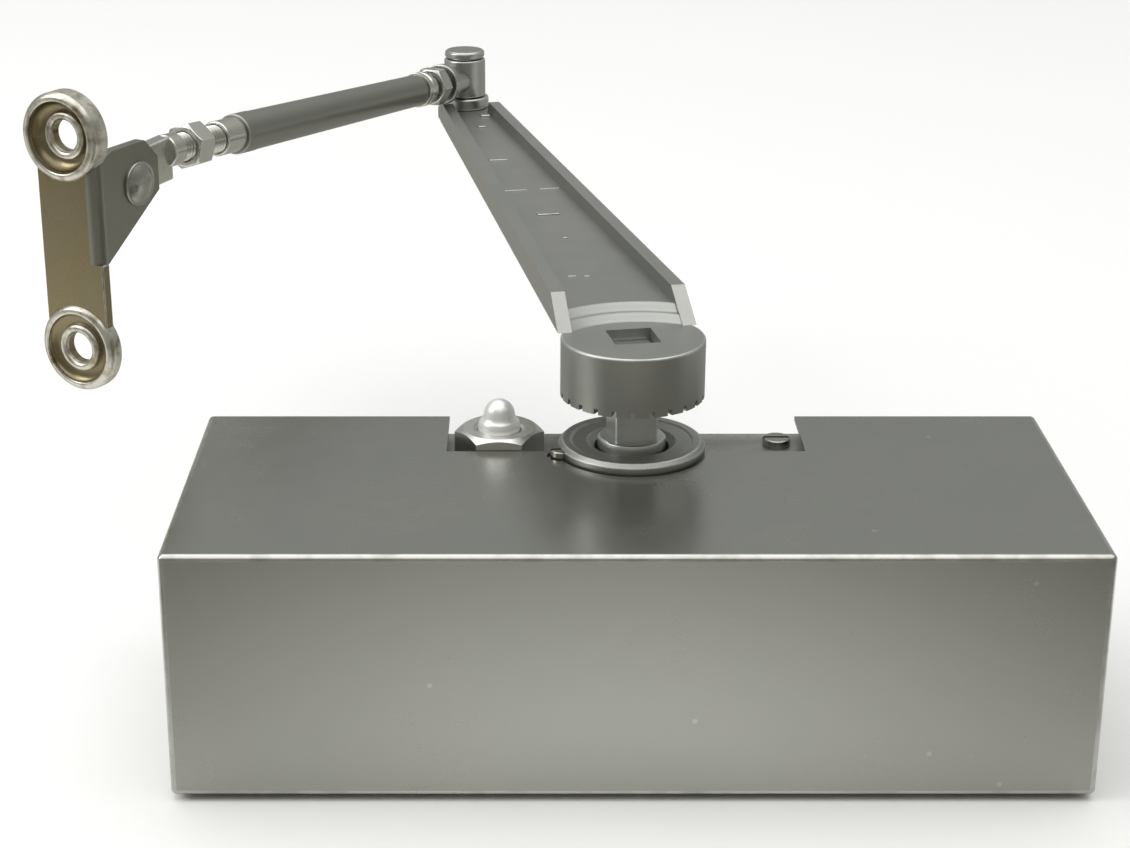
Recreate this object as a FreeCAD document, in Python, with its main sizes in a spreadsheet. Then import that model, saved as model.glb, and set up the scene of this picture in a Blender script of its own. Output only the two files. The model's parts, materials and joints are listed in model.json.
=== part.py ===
"""Overhead door closer with a double-link arm, modelled piece by piece in millimetres.

Frame: the door's face is the plane Y = 0 and the origin is the centre of the four fixing holes on it.
X runs along the cover, Y points from the cover's front into the door, Z is up.
"""
import FreeCAD, Part
import Sketcher
import math
import os
import re

Vector = FreeCAD.Vector
Rotation = FreeCAD.Rotation
Placement = FreeCAD.Placement

doc = FreeCAD.newDocument("DoorCloser")

# Driving dimensions in millimetres and degrees
SIZES = {
    # cover
    "cover_width": 240.0,
    "cover_depth": 100.0,
    "cover_height": 68.0,
    "cover_sheet": 1.2,
    "cover_bend": 1.6,
    "notch_width": 100.0,
    "notch_depth": 28.0,
    "bay_gap": 1.0,
    # body casting
    "body_length": 200.0,
    "body_depth": 52.0,
    "body_height": 57.2,
    "body_chamfer": 5.0,
    "wing_length": 17.0,
    "wing_thickness": 8.0,
    "wing_height": 52.0,
    "fixing_span": 216.0,
    "fixing_rise": 36.0,
    "fixing_hole": 6.5,
    "bore_dia": 38.0,
    # fits
    "running_gap": 0.05,
    "seat_gap": 0.02,
    "hole_gap": 0.2,
    "overcut": 1.0,
    "edge_break": 0.8,
    "small_break": 0.5,
    "thread_lead_in": 1.0,
    # end plugs and their seals
    "plug_reach": 12.0,
    "plug_flats": 30.0,
    "plug_head": 8.0,
    "cord_dia": 2.2,
    "plug_groove": 7.2,
    # pinion
    "pinion_offset": 1.6,
    "pinion_setback": 25.7,
    "gear_teeth": 18.0,
    "gear_module": 1.0,
    "gear_width": 20.0,
    "gear_backlash": 0.16,
    "journal_dia": 16.0,
    "bush_wall": 2.95,
    "bush_length": 6.9,
    "bush_end_gap": 0.06,
    "shaft_end_gap": 0.4,
    "collar_step": 1.5,
    "collar_gap": 0.3,
    "collar_break": 0.6,
    "collar_rise": 9.6,
    "square_side": 12.0,
    "square_rise": 25.8,
    # bearing ring over the shaft, its seal and the cap below
    "ring_dia": 41.0,
    "ring_rise": 8.4,
    "ring_chamfer": 1.0,
    "ring_mouth_gap": 0.7,
    "ring_spigot_wall": 2.5,
    "ring_spigot": 2.0,
    "seal_section": 4.5,
    "seal_relief": 1.2,
    "seal_lip": 1.2,
    "seal_height": 4.6,
    "lock_head_dia": 6.0,
    "lock_head_rise": 7.4,
    "lock_reach": 6.4,
    "lock_slot": 1.0,
    "lock_angle": 196.0,
    "cap_overhang": 3.0,
    "cap_height": 2.8,
    # rack piston
    "piston_wall_left": 14.0,
    "piston_wall_right": 10.0,
    "turn_open": 120.0,
    "turn_shut": 25.0,
    "slot_gap": 1.0,
    "slot_side_gap": 1.2,
    "piston_groove": 3.5,
    "piston_break": 1.0,
    "check_pocket_dia": 6.4,
    "check_pocket": 9.0,
    "check_port_dia": 2.6,
    "ball_dia": 4.8,
    "check_plug_length": 3.6,
    # spring and its adjuster
    "spring_wire": 3.8,
    "spring_side_gap": 3.6,
    "spring_end_gap": 0.1,
    "spring_turns": 6.0,
    "seat_side_gap": 1.5,
    "seat_thickness": 4.0,
    "seat_boss_dia": 17.0,
    "seat_boss": 4.0,
    "seat_standoff": 4.0,
    "adjuster_dia": 10.0,
    "adjuster_reach": 24.0,
    "adjuster_collar_dia": 15.0,
    "adjuster_collar": 2.2,
    "adjuster_flats": 13.0,
    "adjuster_head": 6.0,
    # regulating valves
    "gland_x": -35.4,
    "gland_y": -16.6,
    "gland_flats": 22.0,
    "gland_rise": 8.4,
    "gland_thread_dia": 14.0,
    "gland_thread": 6.0,
    "spindle_dia": 6.0,
    "spindle_reach": 2.5,
    "dome_dia": 12.0,
    "dome_wall": 4.2,
    "dome_step": 1.0,
    "latch_x": 44.0,
    "latch_y": -9.0,
    "latch_dia": 5.0,
    "latch_reach": 8.0,
    "latch_head_dia": 8.0,
    "latch_head": 2.4,
    "latch_slot": 1.2,
    # cover brackets and screws
    "bracket_x": 70.0,
    "bracket_width": 20.0,
    "bracket_sheet": 2.0,
    "bracket_reach": 36.0,
    "bracket_rise": 24.0,
    "bracket_screw_z": -18.0,
    "screw_dia": 5.0,
    "screw_head_dia": 8.0,
    "screw_head": 2.6,
    "screw_reach": 7.0,
    "cover_screw_setback": 26.0,
    "cover_screw_dia": 4.0,
    "cover_screw_head_dia": 7.0,
    "cover_screw_head": 1.8,
    "cover_screw_reach": 3.6,
    # main arm
    "arm_length": 273.1,
    "arm_heading": 101.2,
    "arm_sheet": 4.0,
    "arm_half_tip": 10.4,
    "flange_height": 8.2,
    "flange_start": 6.5,
    "flange_slope": 12.0,
    "drum_dia": 40.0,
    "drum_height": 16.7,
    "drum_bottom": 50.3,
    "drum_wall": 3.0,
    "rim_notches": 24.0,
    "rim_notch_width": 1.3,
    "rim_notch_depth": 1.6,
    "step_inset": 3.5,
    "window_gap": 0.4,
    "square_gap": 0.05,
    "hub_recess": 0.6,
    # elbow
    "elbow_pin_dia": 8.0,
    "elbow_head_dia": 14.0,
    "elbow_head": 2.4,
    "elbow_collar_dia": 18.0,
    "elbow_collar_height": 4.4,
    "elbow_clearing": 4.5,
    "barrel_dia": 15.6,
    "barrel_height": 14.2,
    "barrel_gap": 0.2,
    "elbow_cap_dia": 15.0,
    "elbow_cap_height": 3.0,
    "elbow_cap_crown": 0.8,
    # forearm, measured along its own axis from the elbow
    "forearm_heading": 242.0,
    "forearm_rise": 3.8,
    "forearm_length": 211.7,
    "forearm_lift": 6.2,
    "boss_dia": 11.0,
    "boss_end": 16.0,
    "boss_flange_dia": 15.0,
    "boss_flange": 3.0,
    "stud_dia": 9.0,
    "stud_end": 62.0,
    "elbow_nut_start": 21.5,
    "elbow_nut_flats": 13.0,
    "elbow_nut_height": 6.0,
    "ferrule_start": 31.0,
    "ferrule_wall": 1.75,
    "tube_start": 36.5,
    "tube_length": 116.5,
    "tube_wall_elbow": 1.05,
    "tube_wall_foot": 2.05,
    "tube_band": 3.0,
    "insert_wall": 1.15,
    "insert_length": 10.5,
    "rod_start": 84.0,
    "rod_end": 193.1,
    "foot_nut_start": 172.5,
    "foot_nut_flats": 13.0,
    "foot_nut_height": 8.0,
    # rod eye, rivet and foot bracket
    "eye_thickness": 5.0,
    "eye_dia": 17.0,
    "tongue_overlap": 4.0,
    "tongue_rise": 1.0,
    "pin_drop": 6.0,
    "rivet_dia": 7.0,
    "rivet_head_dia": 14.0,
    "rivet_head": 2.8,
    "rivet_crown": 0.4,
    "rivet_slope": 2.0,
    "rivet_tail": 1.6,
    "rivet_tail_break": 0.6,
    "washer_dia": 14.0,
    "washer_thickness": 1.2,
    "foot_sheet": 3.5,
    "ear_gap": 0.3,
    "ear_back": 10.0,
    "ear_front": 16.4,
    "ear_top": 12.5,
    "ear_corner": 6.0,
    "ear_toe": 4.0,
    "ear_heel": 21.0,
    "plate_width": 22.2,
    "boss_spacing": 66.0,
    "plate_drop": 15.4,
    "foot_boss_dia": 27.0,
    "foot_boss_rise": 3.4,
    "dish_dia": 23.2,
    "dish_depth": 2.6,
    "dish_slope": 2.0,
    "lip_dia": 13.6,
    "lip_slope": 0.6,
    "lip_rise": 1.2,
    "foot_hole": 9.4,
}

sheet = doc.addObject("Spreadsheet::Sheet", "dim")
for row, (alias, value) in enumerate(SIZES.items(), start=1):
    sheet.set(f"A{row}", alias)
    sheet.set(f"B{row}", str(value))
    sheet.setAlias(f"B{row}", alias)
doc.recompute()


def bound(text):
    """Turn a formula over size names into one over the sheet's cells."""
    return re.sub(r"[a-z_]+[a-z_0-9]*", lambda word: cell_of(word.group()), text)


def cell_of(word):
    """Give the cell that a size name stands for, and leave any other word as it is."""
    return f"dim.{word}" if word in SIZES else word


def size(text):
    """Work out a formula over size names as a plain number."""
    return float(sheet.evalExpression(bound(text)))


# Levels and lines that several pieces share
BODY_TOP = "(body_height / 2)"
BODY_BOTTOM = "(-body_height / 2)"
PIN_X = "pinion_offset"
PIN_Y = "(-pinion_setback)"
BORE_R = "(bore_dia / 2)"
GEAR_R = "(gear_module * gear_teeth / 2)"
GEAR_TIP_R = "(gear_module * (gear_teeth / 2 + 1))"
DEDENDUM = 1.25
PRESSURE_ANGLE = 20
FLANK_STEPS = 6
BUSH_BORE = "(journal_dia + 2 * running_gap)"
BUSH_DIA = f"({BUSH_BORE} + 2 * bush_wall)"
COLLAR_R = "(journal_dia / 2 + collar_step)"
SEAL_R = "(journal_dia / 2 + seal_section)"
SPIGOT_R = f"({SEAL_R} + ring_spigot_wall)"
HALF_BODY = "(body_length / 2)"
SLOT_LEFT = f"({PIN_X} - {GEAR_TIP_R} - slot_gap - turn_open * pi / 180 * {GEAR_R})"
SLOT_RIGHT = f"({PIN_X} + {GEAR_TIP_R} + slot_gap + turn_shut * pi / 180 * {GEAR_R})"
RACK_ROOT = f"({PIN_Y} + {GEAR_R} + {DEDENDUM} * gear_module)"
PISTON_LEFT = f"({SLOT_LEFT} - piston_wall_left)"
PISTON_RIGHT = f"({SLOT_RIGHT} + piston_wall_right)"
PLUG_INNER = f"({HALF_BODY} - plug_reach)"
SEAT_RIGHT = f"({PLUG_INNER} - adjuster_collar - seat_standoff)"
SEAT_LEFT = f"({SEAT_RIGHT} - seat_boss - seat_thickness)"
DRUM_TOP = "(drum_bottom + drum_height)"
WEB_TOP = f"({DRUM_TOP} + arm_sheet)"
BARREL_BOTTOM = f"({WEB_TOP} + elbow_collar_height + barrel_gap)"
BARREL_TOP = f"({BARREL_BOTTOM} + barrel_height)"
FOREARM_Z = f"({BARREL_BOTTOM} + forearm_lift)"
TUBE_END = "(tube_start + tube_length)"
TUBE_BORE = "(stud_dia / 2 + running_gap)"

X_AXIS = Vector(1, 0, 0)
Y_AXIS = Vector(0, 1, 0)
Z_AXIS = Vector(0, 0, 1)
ALONG_X = Rotation(Y_AXIS, 90)
ALONG_MINUS_X = Rotation(Y_AXIS, -90)
ALONG_Y = Rotation(X_AXIS, -90)
ALONG_MINUS_Y = Rotation(X_AXIS, 90)
DOWN = Rotation(X_AXIS, 180)
UPRIGHT = Rotation()


def spot(x, y, z, turn=UPRIGHT):
    """Place a piece at a point given by three formulas."""
    return Placement(Vector(size(x), size(y), size(z)), turn)


def heading(angle):
    """Give the level unit vector at an angle from +X."""
    return Vector(math.cos(math.radians(angle)), math.sin(math.radians(angle)), 0)


def bind(piece, **formulas):
    """Tie properties of a piece to formulas over the sheet's cells."""
    for name, formula in formulas.items():
        piece.setExpression(name, bound(formula))
    return piece


def cylinder(name, dia, height, place):
    """A plain round bar along the placement's own Z."""
    bar = doc.addObject("Part::Cylinder", name)
    bind(bar, Radius=f"({dia}) / 2", Height=height)
    bar.Placement = place
    return bar


def block(name, low, high):
    """A box between two corners, each given by three formulas."""
    box = doc.addObject("Part::Box", name)
    spans = [f"({b}) - ({a})" for a, b in zip(low, high)]
    bind(box, Length=spans[0], Width=spans[1], Height=spans[2])
    for axis, formula in zip("xyz", low):
        box.setExpression(f"Placement.Base.{axis}", bound(formula))
    return box


def prism(name, flats, height, place):
    """A hexagonal bar along the placement's own Z."""
    bar = doc.addObject("Part::Prism", name)
    bar.Polygon = 6
    bind(bar, Circumradius=f"({flats}) / sqrt(3)", Height=height)
    bar.Placement = place
    return bar


def fused(name, *pieces):
    """Join pieces into one solid."""
    joint = doc.addObject("Part::MultiFuse", name)
    joint.Shapes = list(pieces)
    joint.Refine = True
    return joint


def shared(name, *pieces):
    """Keep only what all pieces have in common."""
    overlap = doc.addObject("Part::MultiCommon", name)
    overlap.Shapes = list(pieces)
    overlap.Refine = True
    return overlap


def cut(name, base, *tools):
    """Take the tools away from the base."""
    tool = tools[0] if len(tools) == 1 else fused(f"{name}_tools", *tools)
    left = doc.addObject("Part::Cut", name)
    left.Base = base
    left.Tool = tool
    left.Refine = True
    return left


def group(name, *pieces):
    """Keep like fasteners together as separate solids under one name."""
    bundle = doc.addObject("Part::Compound", name)
    bundle.Links = list(pieces)
    return bundle


def plane_of(body, role):
    """Find one of a body's own origin planes."""
    return next(plane for plane in body.Origin.OriginFeatures if plane.Role == role)


def outline(body, role, points):
    """Draw a closed outline of straight lines whose corners are tied to formulas."""
    sketch = body.newObject("Sketcher::SketchObject", f"{body.Name}_outline")
    sketch.AttachmentSupport = (plane_of(body, role), [""])
    sketch.MapMode = "FlatFace"
    corners = [Vector(size(across), size(up), 0) for across, up in points]
    for index, corner in enumerate(corners):
        sketch.addGeometry(Part.LineSegment(corner, corners[(index + 1) % len(corners)]), False)
    for index, (across, up) in enumerate(points):
        following = (index + 1) % len(corners)
        sketch.addConstraint(Sketcher.Constraint("Coincident", index, 2, following, 1))
        for kind, formula in (("DistanceX", across), ("DistanceY", up)):
            number = sketch.addConstraint(Sketcher.Constraint(kind, index, 1, size(formula)))
            sketch.setExpression(f"Constraints[{number}]", bound(formula))
    return sketch


def turned(name, points, place):
    """Turn an outline of (radius, height) corners about the placement's own Z."""
    body = doc.addObject("PartDesign::Body", name)
    sketch = outline(body, "XZ_Plane", points)
    turning = body.newObject("PartDesign::Revolution", f"{name}_turning")
    turning.Profile = sketch
    turning.ReferenceAxis = (sketch, ["V_Axis"])
    turning.Angle = 360
    body.Placement = place
    return body


def padded(name, role, points, length, place):
    """Raise an outline on one of the body's planes by a length, along the plane's normal."""
    body = doc.addObject("PartDesign::Body", name)
    sketch = outline(body, role, points)
    pad = body.newObject("PartDesign::Pad", f"{name}_pad")
    pad.Profile = sketch
    pad.setExpression("Length", bound(length))
    body.Placement = place
    return body


def sleeve(inner, outer, low, high):
    """Corners of a plain ring, from diameters and two heights."""
    hole = f"({inner}) / 2"
    wall = f"({outer}) / 2"
    return [(hole, low), (wall, low), (wall, high), (hole, high)]


def square_corners(half):
    """Corners of a square from half its side."""
    return [(f"-{half}", f"-{half}"), (half, f"-{half}"), (half, half), (f"-{half}", half)]


def hexed(name, flats, height, bore, place):
    """A hexagonal nut or head with its corners turned off at 30 degrees and a plain bore."""
    corner = f"({flats}) / sqrt(3)"
    bevel = f"({corner} - ({flats}) / 2) * 0.58"
    face = f"({flats}) * 0.48"
    envelope = turned(f"{name}_envelope", [
        (f"({bore}) / 2", "0"),
        (face, "0"),
        (corner, bevel),
        (corner, f"({height}) - {bevel}"),
        (face, height),
        (f"({bore}) / 2", height),
    ], place)
    return shared(name, prism(f"{name}_hexagon", flats, height, place), envelope)


def screw(name, dia, reach, head_dia, head, slot, place):
    """A slotted screw whose head sits on the placement's XY plane and whose shank points along -Z."""
    blank = turned(f"{name}_blank", [
        ("0", f"-({reach})"),
        (f"({dia}) / 2 - small_break", f"-({reach})"),
        (f"({dia}) / 2", f"-({reach}) + small_break"),
        (f"({dia}) / 2", "0"),
        (f"({head_dia}) / 2", "0"),
        (f"({head_dia}) / 2", f"({head}) - small_break"),
        (f"({head_dia}) / 2 - small_break", head),
        ("0", head),
    ], place)
    groove = doc.addObject("Part::Box", f"{name}_groove")
    bind(groove, Length=f"({head_dia}) + 2 * overcut", Width=slot, Height=head)
    corner = Vector(-size(f"({head_dia}) / 2 + overcut"), -size(f"({slot}) / 2"), size(f"({head}) / 2"))
    groove.Placement = place.multiply(Placement(corner, UPRIGHT))
    return cut(name, blank, groove)


# Sheet-metal cover, open towards the door
def make_cover():
    half = "(cover_width / 2)"
    rise = "(cover_height / 2)"
    blank = block("cover_blank", (f"-{half}", "-cover_depth", f"-{rise}"), (half, "0", rise))
    doc.recompute()
    bends = doc.addObject("Part::Fillet", "cover_bends")
    bends.Base = blank
    radius = size("cover_bend")
    bends.Edges = [
        (number, radius, radius)
        for number, edge in enumerate(blank.Shape.Edges, start=1)
        if edge.BoundBox.YMin < -0.5 * size("cover_depth")
    ]
    inside = block(
        "cover_inside",
        (f"-{half} + cover_sheet", "-cover_depth + cover_sheet", f"-{rise} + cover_sheet"),
        (f"{half} - cover_sheet", "cover_depth", f"{rise} - cover_sheet"),
    )
    notch = block("cover_notch", ("-notch_width / 2", "-notch_depth", "0"),
                  ("notch_width / 2", "overcut", "cover_height"))
    bay = cylinder("cover_bay", "ring_dia + 2 * bay_gap", "cover_height", spot(PIN_X, PIN_Y, "0"))
    lock = cylinder("cover_lock_bay", "lock_head_dia + 2 * bay_gap", "cover_height", lock_spot("0"))
    holes = [
        cylinder(f"cover_hole_{side}", "cover_screw_dia + 2 * hole_gap", "cover_sheet + 2 * overcut",
                 cover_screw_spot(sign, DOWN, "cover_sheet + overcut"))
        for side, sign in (("left", "-"), ("right", ""))
    ]
    return cut("cover", bends, inside, notch, bay, lock, *holes)


def lock_spot(z, turn=UPRIGHT):
    """Where the ring's lock screw stands, half in the ring's rim."""
    radius = size("ring_dia / 2")
    point = heading(size("lock_angle")) * radius
    return Placement(Vector(point.x + size(PIN_X), point.y + size(PIN_Y), size(z)), turn)


def cover_screw_spot(sign, turn, above):
    """Where a cover screw enters the cover's underside, raised by a little."""
    forward = "(-body_depth - cover_screw_setback)"
    return spot(f"{sign}bracket_x", forward, f"-cover_height / 2 + ({above})", turn)


# Body casting with its bore, wings and threaded seats
def make_body():
    front = "(-body_depth)"
    section = [
        ("0", BODY_BOTTOM),
        ("0", BODY_TOP),
        (f"{front} + body_chamfer", BODY_TOP),
        (front, f"{BODY_TOP} - body_chamfer"),
        (front, f"{BODY_BOTTOM} + body_chamfer"),
        (f"{front} + body_chamfer", BODY_BOTTOM),
    ]
    barrel = padded("body_barrel", "YZ_Plane", section, "body_length", spot(f"-{HALF_BODY}", "0", "0"))
    tip = f"({HALF_BODY} + wing_length)"
    wings = block("body_wings", (f"-{tip}", "-wing_thickness", "-wing_height / 2"),
                  (tip, "0", "wing_height / 2"))
    casting = fused("body_casting", barrel, wings)
    bore = cylinder("body_bore", "bore_dia", "body_length + 2 * overcut",
                    spot(f"-{HALF_BODY} - overcut", PIN_Y, "0", ALONG_X))
    bush_hole = cylinder("body_bush_hole", f"{BUSH_DIA} + 2 * seat_gap", "body_height + 2 * overcut",
                         spot(PIN_X, PIN_Y, f"{BODY_BOTTOM} - overcut"))
    ring_seat = cylinder("body_ring_seat", f"2 * ({SPIGOT_R} + seat_gap)",
                         "ring_spigot + seat_gap + overcut",
                         spot(PIN_X, PIN_Y, f"{BODY_TOP} - ring_spigot - seat_gap"))
    gland_hole = cylinder("body_gland_hole", "gland_thread_dia + 2 * seat_gap",
                          "gland_thread + seat_gap + overcut",
                          spot("gland_x", "gland_y", f"{BODY_TOP} - gland_thread - seat_gap"))
    port = cylinder("body_valve_port", "spindle_dia + 2 * small_break", "body_height / 2",
                    spot("gland_x", "gland_y", "0"))
    latch_hole = cylinder("body_latch_hole", "latch_dia + 2 * running_gap", "latch_reach + 2 * overcut",
                          spot("latch_x", "latch_y", f"{BODY_TOP} - latch_reach - overcut"))
    lock_hole = cylinder("body_lock_hole", "lock_head_dia / 2 + 2 * seat_gap", "lock_reach + 2 * overcut",
                         lock_spot(f"{BODY_TOP} - lock_reach - overcut"))
    tools = [bore, bush_hole, ring_seat, gland_hole, port, latch_hole, lock_hole]
    for side, sign in (("left", "-"), ("right", "")):
        seat = spot(f"{sign}bracket_x", f"{front} - overcut", "bracket_screw_z", ALONG_Y)
        tools.append(cylinder(f"body_bracket_hole_{side}", "screw_dia + 2 * seat_gap",
                              "screw_reach + overcut + small_break", seat))
        for level, up in (("low", "-"), ("high", "")):
            place = spot(f"{sign}fixing_span / 2", "-wing_thickness - overcut",
                         f"{up}fixing_rise / 2", ALONG_Y)
            tools.append(cylinder(f"body_fixing_{side}_{level}", "fixing_hole",
                                  "wing_thickness + 2 * overcut", place))
    return cut("closer_body", casting, *tools)


# End plugs screwed into the bore, each with a sealing ring in its groove
GROOVE_R = f"({BORE_R} - cord_dia - seat_gap * 2)"
PLUG_R = f"({BORE_R} - seat_gap)"
GROOVE_MID = "plug_groove"


def plug_corners(bore):
    """Corners of a plug's turned shank, from its inner face at height 0 to the head's underside."""
    low = f"({GROOVE_MID} - cord_dia / 2 - seat_gap)"
    high = f"({GROOVE_MID} + cord_dia / 2 + seat_gap)"
    return [
        (bore, "0"),
        (PLUG_R, "0"),
        (PLUG_R, low),
        (GROOVE_R, low),
        (GROOVE_R, high),
        (PLUG_R, high),
        (PLUG_R, "plug_reach"),
        (bore, "plug_reach"),
    ]


def make_plug(name, place, bore):
    """A plug that ends flush with the body's end face, with a hexagon standing proud of it."""
    shank = turned(f"{name}_shank", plug_corners(f"({bore}) / 2"), place)
    head_place = place.multiply(spot("0", "0", "plug_reach"))
    return fused(name, shank, hexed(f"{name}_head", "plug_flats", "plug_head", bore, head_place))


def make_cord_ring(name, radius, place):
    """A sealing ring of round section whose outside diameter just meets a wall of the given radius."""
    ring = doc.addObject("Part::Torus", name)
    bind(ring, Radius1=f"{radius} - seat_gap - cord_dia / 2", Radius2="cord_dia / 2")
    ring.Placement = place
    return ring


# Pinion with involute teeth, journals, collar and the square end for the arm
def gear_shape():
    teeth = int(size("gear_teeth"))
    module = size("gear_module")
    pitch_r = size(GEAR_R)
    tip_r = size(GEAR_TIP_R)
    root_r = pitch_r - DEDENDUM * module
    pressure = math.radians(PRESSURE_ANGLE)
    base_r = pitch_r * math.cos(pressure)
    half_pitch = math.pi / (2 * teeth) - size("gear_backlash") / (4 * pitch_r)

    def half_angle(radius):
        slant = math.acos(base_r / radius)
        return half_pitch + math.tan(pressure) - pressure - math.tan(slant) + slant

    def point(radius, angle):
        return Vector(radius * math.cos(angle), radius * math.sin(angle), 0)

    radii = [base_r + (tip_r - base_r) * step / FLANK_STEPS for step in range(FLANK_STEPS + 1)]
    step_angle = 2 * math.pi / teeth
    edges = []
    for tooth in range(teeth):
        middle = math.pi / 2 + (tooth + 0.5) * step_angle
        rising = [point(r, middle - half_angle(r)) for r in radii]
        falling = [point(r, middle + half_angle(r)) for r in reversed(radii)]
        foot_in = point(root_r, middle - half_angle(base_r))
        foot_out = point(root_r, middle + half_angle(base_r))
        next_in = point(root_r, middle + step_angle - half_angle(base_r))
        for flank in (rising, falling):
            curve = Part.BSplineCurve()
            curve.interpolate(flank)
            edges.append(curve.toShape())
        edges.append(Part.Arc(rising[-1], point(tip_r, middle), falling[0]).toShape())
        edges.append(Part.LineSegment(foot_in, rising[0]).toShape())
        edges.append(Part.LineSegment(falling[-1], foot_out).toShape())
        edges.append(Part.Arc(foot_out, point(root_r, middle + step_angle / 2), next_in).toShape())
    wire = Part.Wire(Part.__sortEdges__(edges))
    return Part.Face(wire).extrude(Vector(0, 0, size("gear_width")))


def make_pinion():
    bottom = f"({BODY_BOTTOM} + ring_spigot + shaft_end_gap)"
    collar_low = f"({BODY_TOP} + seal_height + collar_gap)"
    collar_top = f"({BODY_TOP} + collar_rise)"
    journal = "(journal_dia / 2)"
    core = turned("pinion_core", [
        ("0", bottom),
        (f"{journal} - edge_break", bottom),
        (journal, f"{bottom} + edge_break"),
        (journal, collar_low),
        (COLLAR_R, collar_low),
        (COLLAR_R, f"{collar_top} - collar_break"),
        (f"{COLLAR_R} - collar_break", collar_top),
        ("0", collar_top),
    ], spot(PIN_X, PIN_Y, "0"))
    gear = doc.addObject("Part::Feature", "pinion_gear")
    gear.Shape = gear_shape()
    gear.Placement = spot(PIN_X, PIN_Y, "-gear_width / 2")
    square = padded("pinion_square", "XY_Plane", square_corners("(square_side / 2)"),
                    "square_rise", spot(PIN_X, PIN_Y, collar_top, arm_turn()))
    return fused("pinion_shaft", core, gear, square)


# Bushes, shaft seal, ring with its lock screw, and the cap below
def make_bearings():
    at_axis = spot(PIN_X, PIN_Y, "0")
    upper = f"({BODY_TOP} - ring_spigot - bush_end_gap)"
    lower = f"({BODY_BOTTOM} + ring_spigot + bush_end_gap)"
    pieces = [
        turned("pinion_bush_upper", sleeve(BUSH_BORE, BUSH_DIA, f"{upper} - bush_length", upper), at_axis),
        turned("pinion_bush_lower", sleeve(BUSH_BORE, BUSH_DIA, lower, f"{lower} + bush_length"), at_axis),
    ]
    seal_top = f"{BODY_TOP} + seal_height"
    lip = "journal_dia / 2 + running_gap"
    relieved = "journal_dia / 2 + seal_relief"
    pieces.append(turned("shaft_seal", [
        (relieved, BODY_TOP),
        (SEAL_R, BODY_TOP),
        (SEAL_R, seal_top),
        (lip, seal_top),
        (lip, f"{seal_top} - seal_lip"),
        (relieved, f"{seal_top} - seal_lip - edge_break"),
    ], at_axis))
    ring_top = f"({BODY_TOP} + ring_rise)"
    ring_low = f"({BODY_TOP} - ring_spigot)"
    mouth = f"({COLLAR_R} + ring_mouth_gap)"
    pocket = f"({SEAL_R} + seat_gap)"
    blank = turned("bearing_ring_blank", [
        (pocket, ring_low),
        (SPIGOT_R, ring_low),
        (SPIGOT_R, BODY_TOP),
        ("ring_dia / 2", BODY_TOP),
        ("ring_dia / 2", f"{ring_top} - ring_chamfer"),
        ("ring_dia / 2 - ring_chamfer", ring_top),
        (f"{mouth} + ring_chamfer", ring_top),
        (mouth, f"{ring_top} - ring_chamfer"),
        (mouth, f"{BODY_TOP} + seal_height + seat_gap"),
        (pocket, f"{BODY_TOP} + seal_height + seat_gap"),
    ], at_axis)
    bite = cylinder("ring_lock_bite", "lock_head_dia + 2 * seat_gap", "ring_rise + overcut",
                    lock_spot(BODY_TOP))
    pieces.append(cut("bearing_ring", blank, bite))
    pieces.append(screw("ring_lock_screw", "lock_head_dia / 2", "lock_reach", "lock_head_dia",
                        "lock_head_rise", "lock_slot", lock_spot(BODY_TOP)))
    spigot = f"({BUSH_DIA} / 2 - seat_gap)"
    rim = f"({BUSH_DIA} / 2 + cap_overhang)"
    cap_low = f"({BODY_BOTTOM} - cap_height)"
    pieces.append(turned("bottom_cap", [
        ("0", cap_low),
        (f"{rim} - edge_break", cap_low),
        (rim, f"{cap_low} + edge_break"),
        (rim, BODY_BOTTOM),
        (spigot, BODY_BOTTOM),
        (spigot, f"{BODY_BOTTOM} + ring_spigot"),
        ("0", f"{BODY_BOTTOM} + ring_spigot"),
    ], at_axis))
    return pieces


# Rack piston with its pinion slot, seal groove and check valve
def rack_shape():
    """Teeth along X that point to -Y from a bar, drawn about the pitch line and centred on a tooth."""
    module = size("gear_module")
    pitch = math.pi * module
    slant = math.tan(math.radians(PRESSURE_ANGLE))
    half = pitch / 4 - size("gear_backlash") / 4
    tip = half - module * slant
    foot = half + DEDENDUM * module * slant
    left = size(f"{SLOT_LEFT} - {PIN_X}")
    right = size(f"{SLOT_RIGHT} - {PIN_X}")
    deep = DEDENDUM * module
    bar = deep + 2 * module
    corners = [Vector(left, bar, 0), Vector(left, deep, 0)]
    for tooth in range(math.ceil((left + foot) / pitch), math.floor((right - foot) / pitch) + 1):
        middle = tooth * pitch
        for across, up in ((-foot, deep), (-tip, -module), (tip, -module), (foot, deep)):
            corners.append(Vector(middle + across, up, 0))
    corners += [Vector(right, deep, 0), Vector(right, bar, 0), Vector(left, bar, 0)]
    return Part.Face(Part.makePolygon(corners)).extrude(Vector(0, 0, size("bore_dia")))


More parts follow.
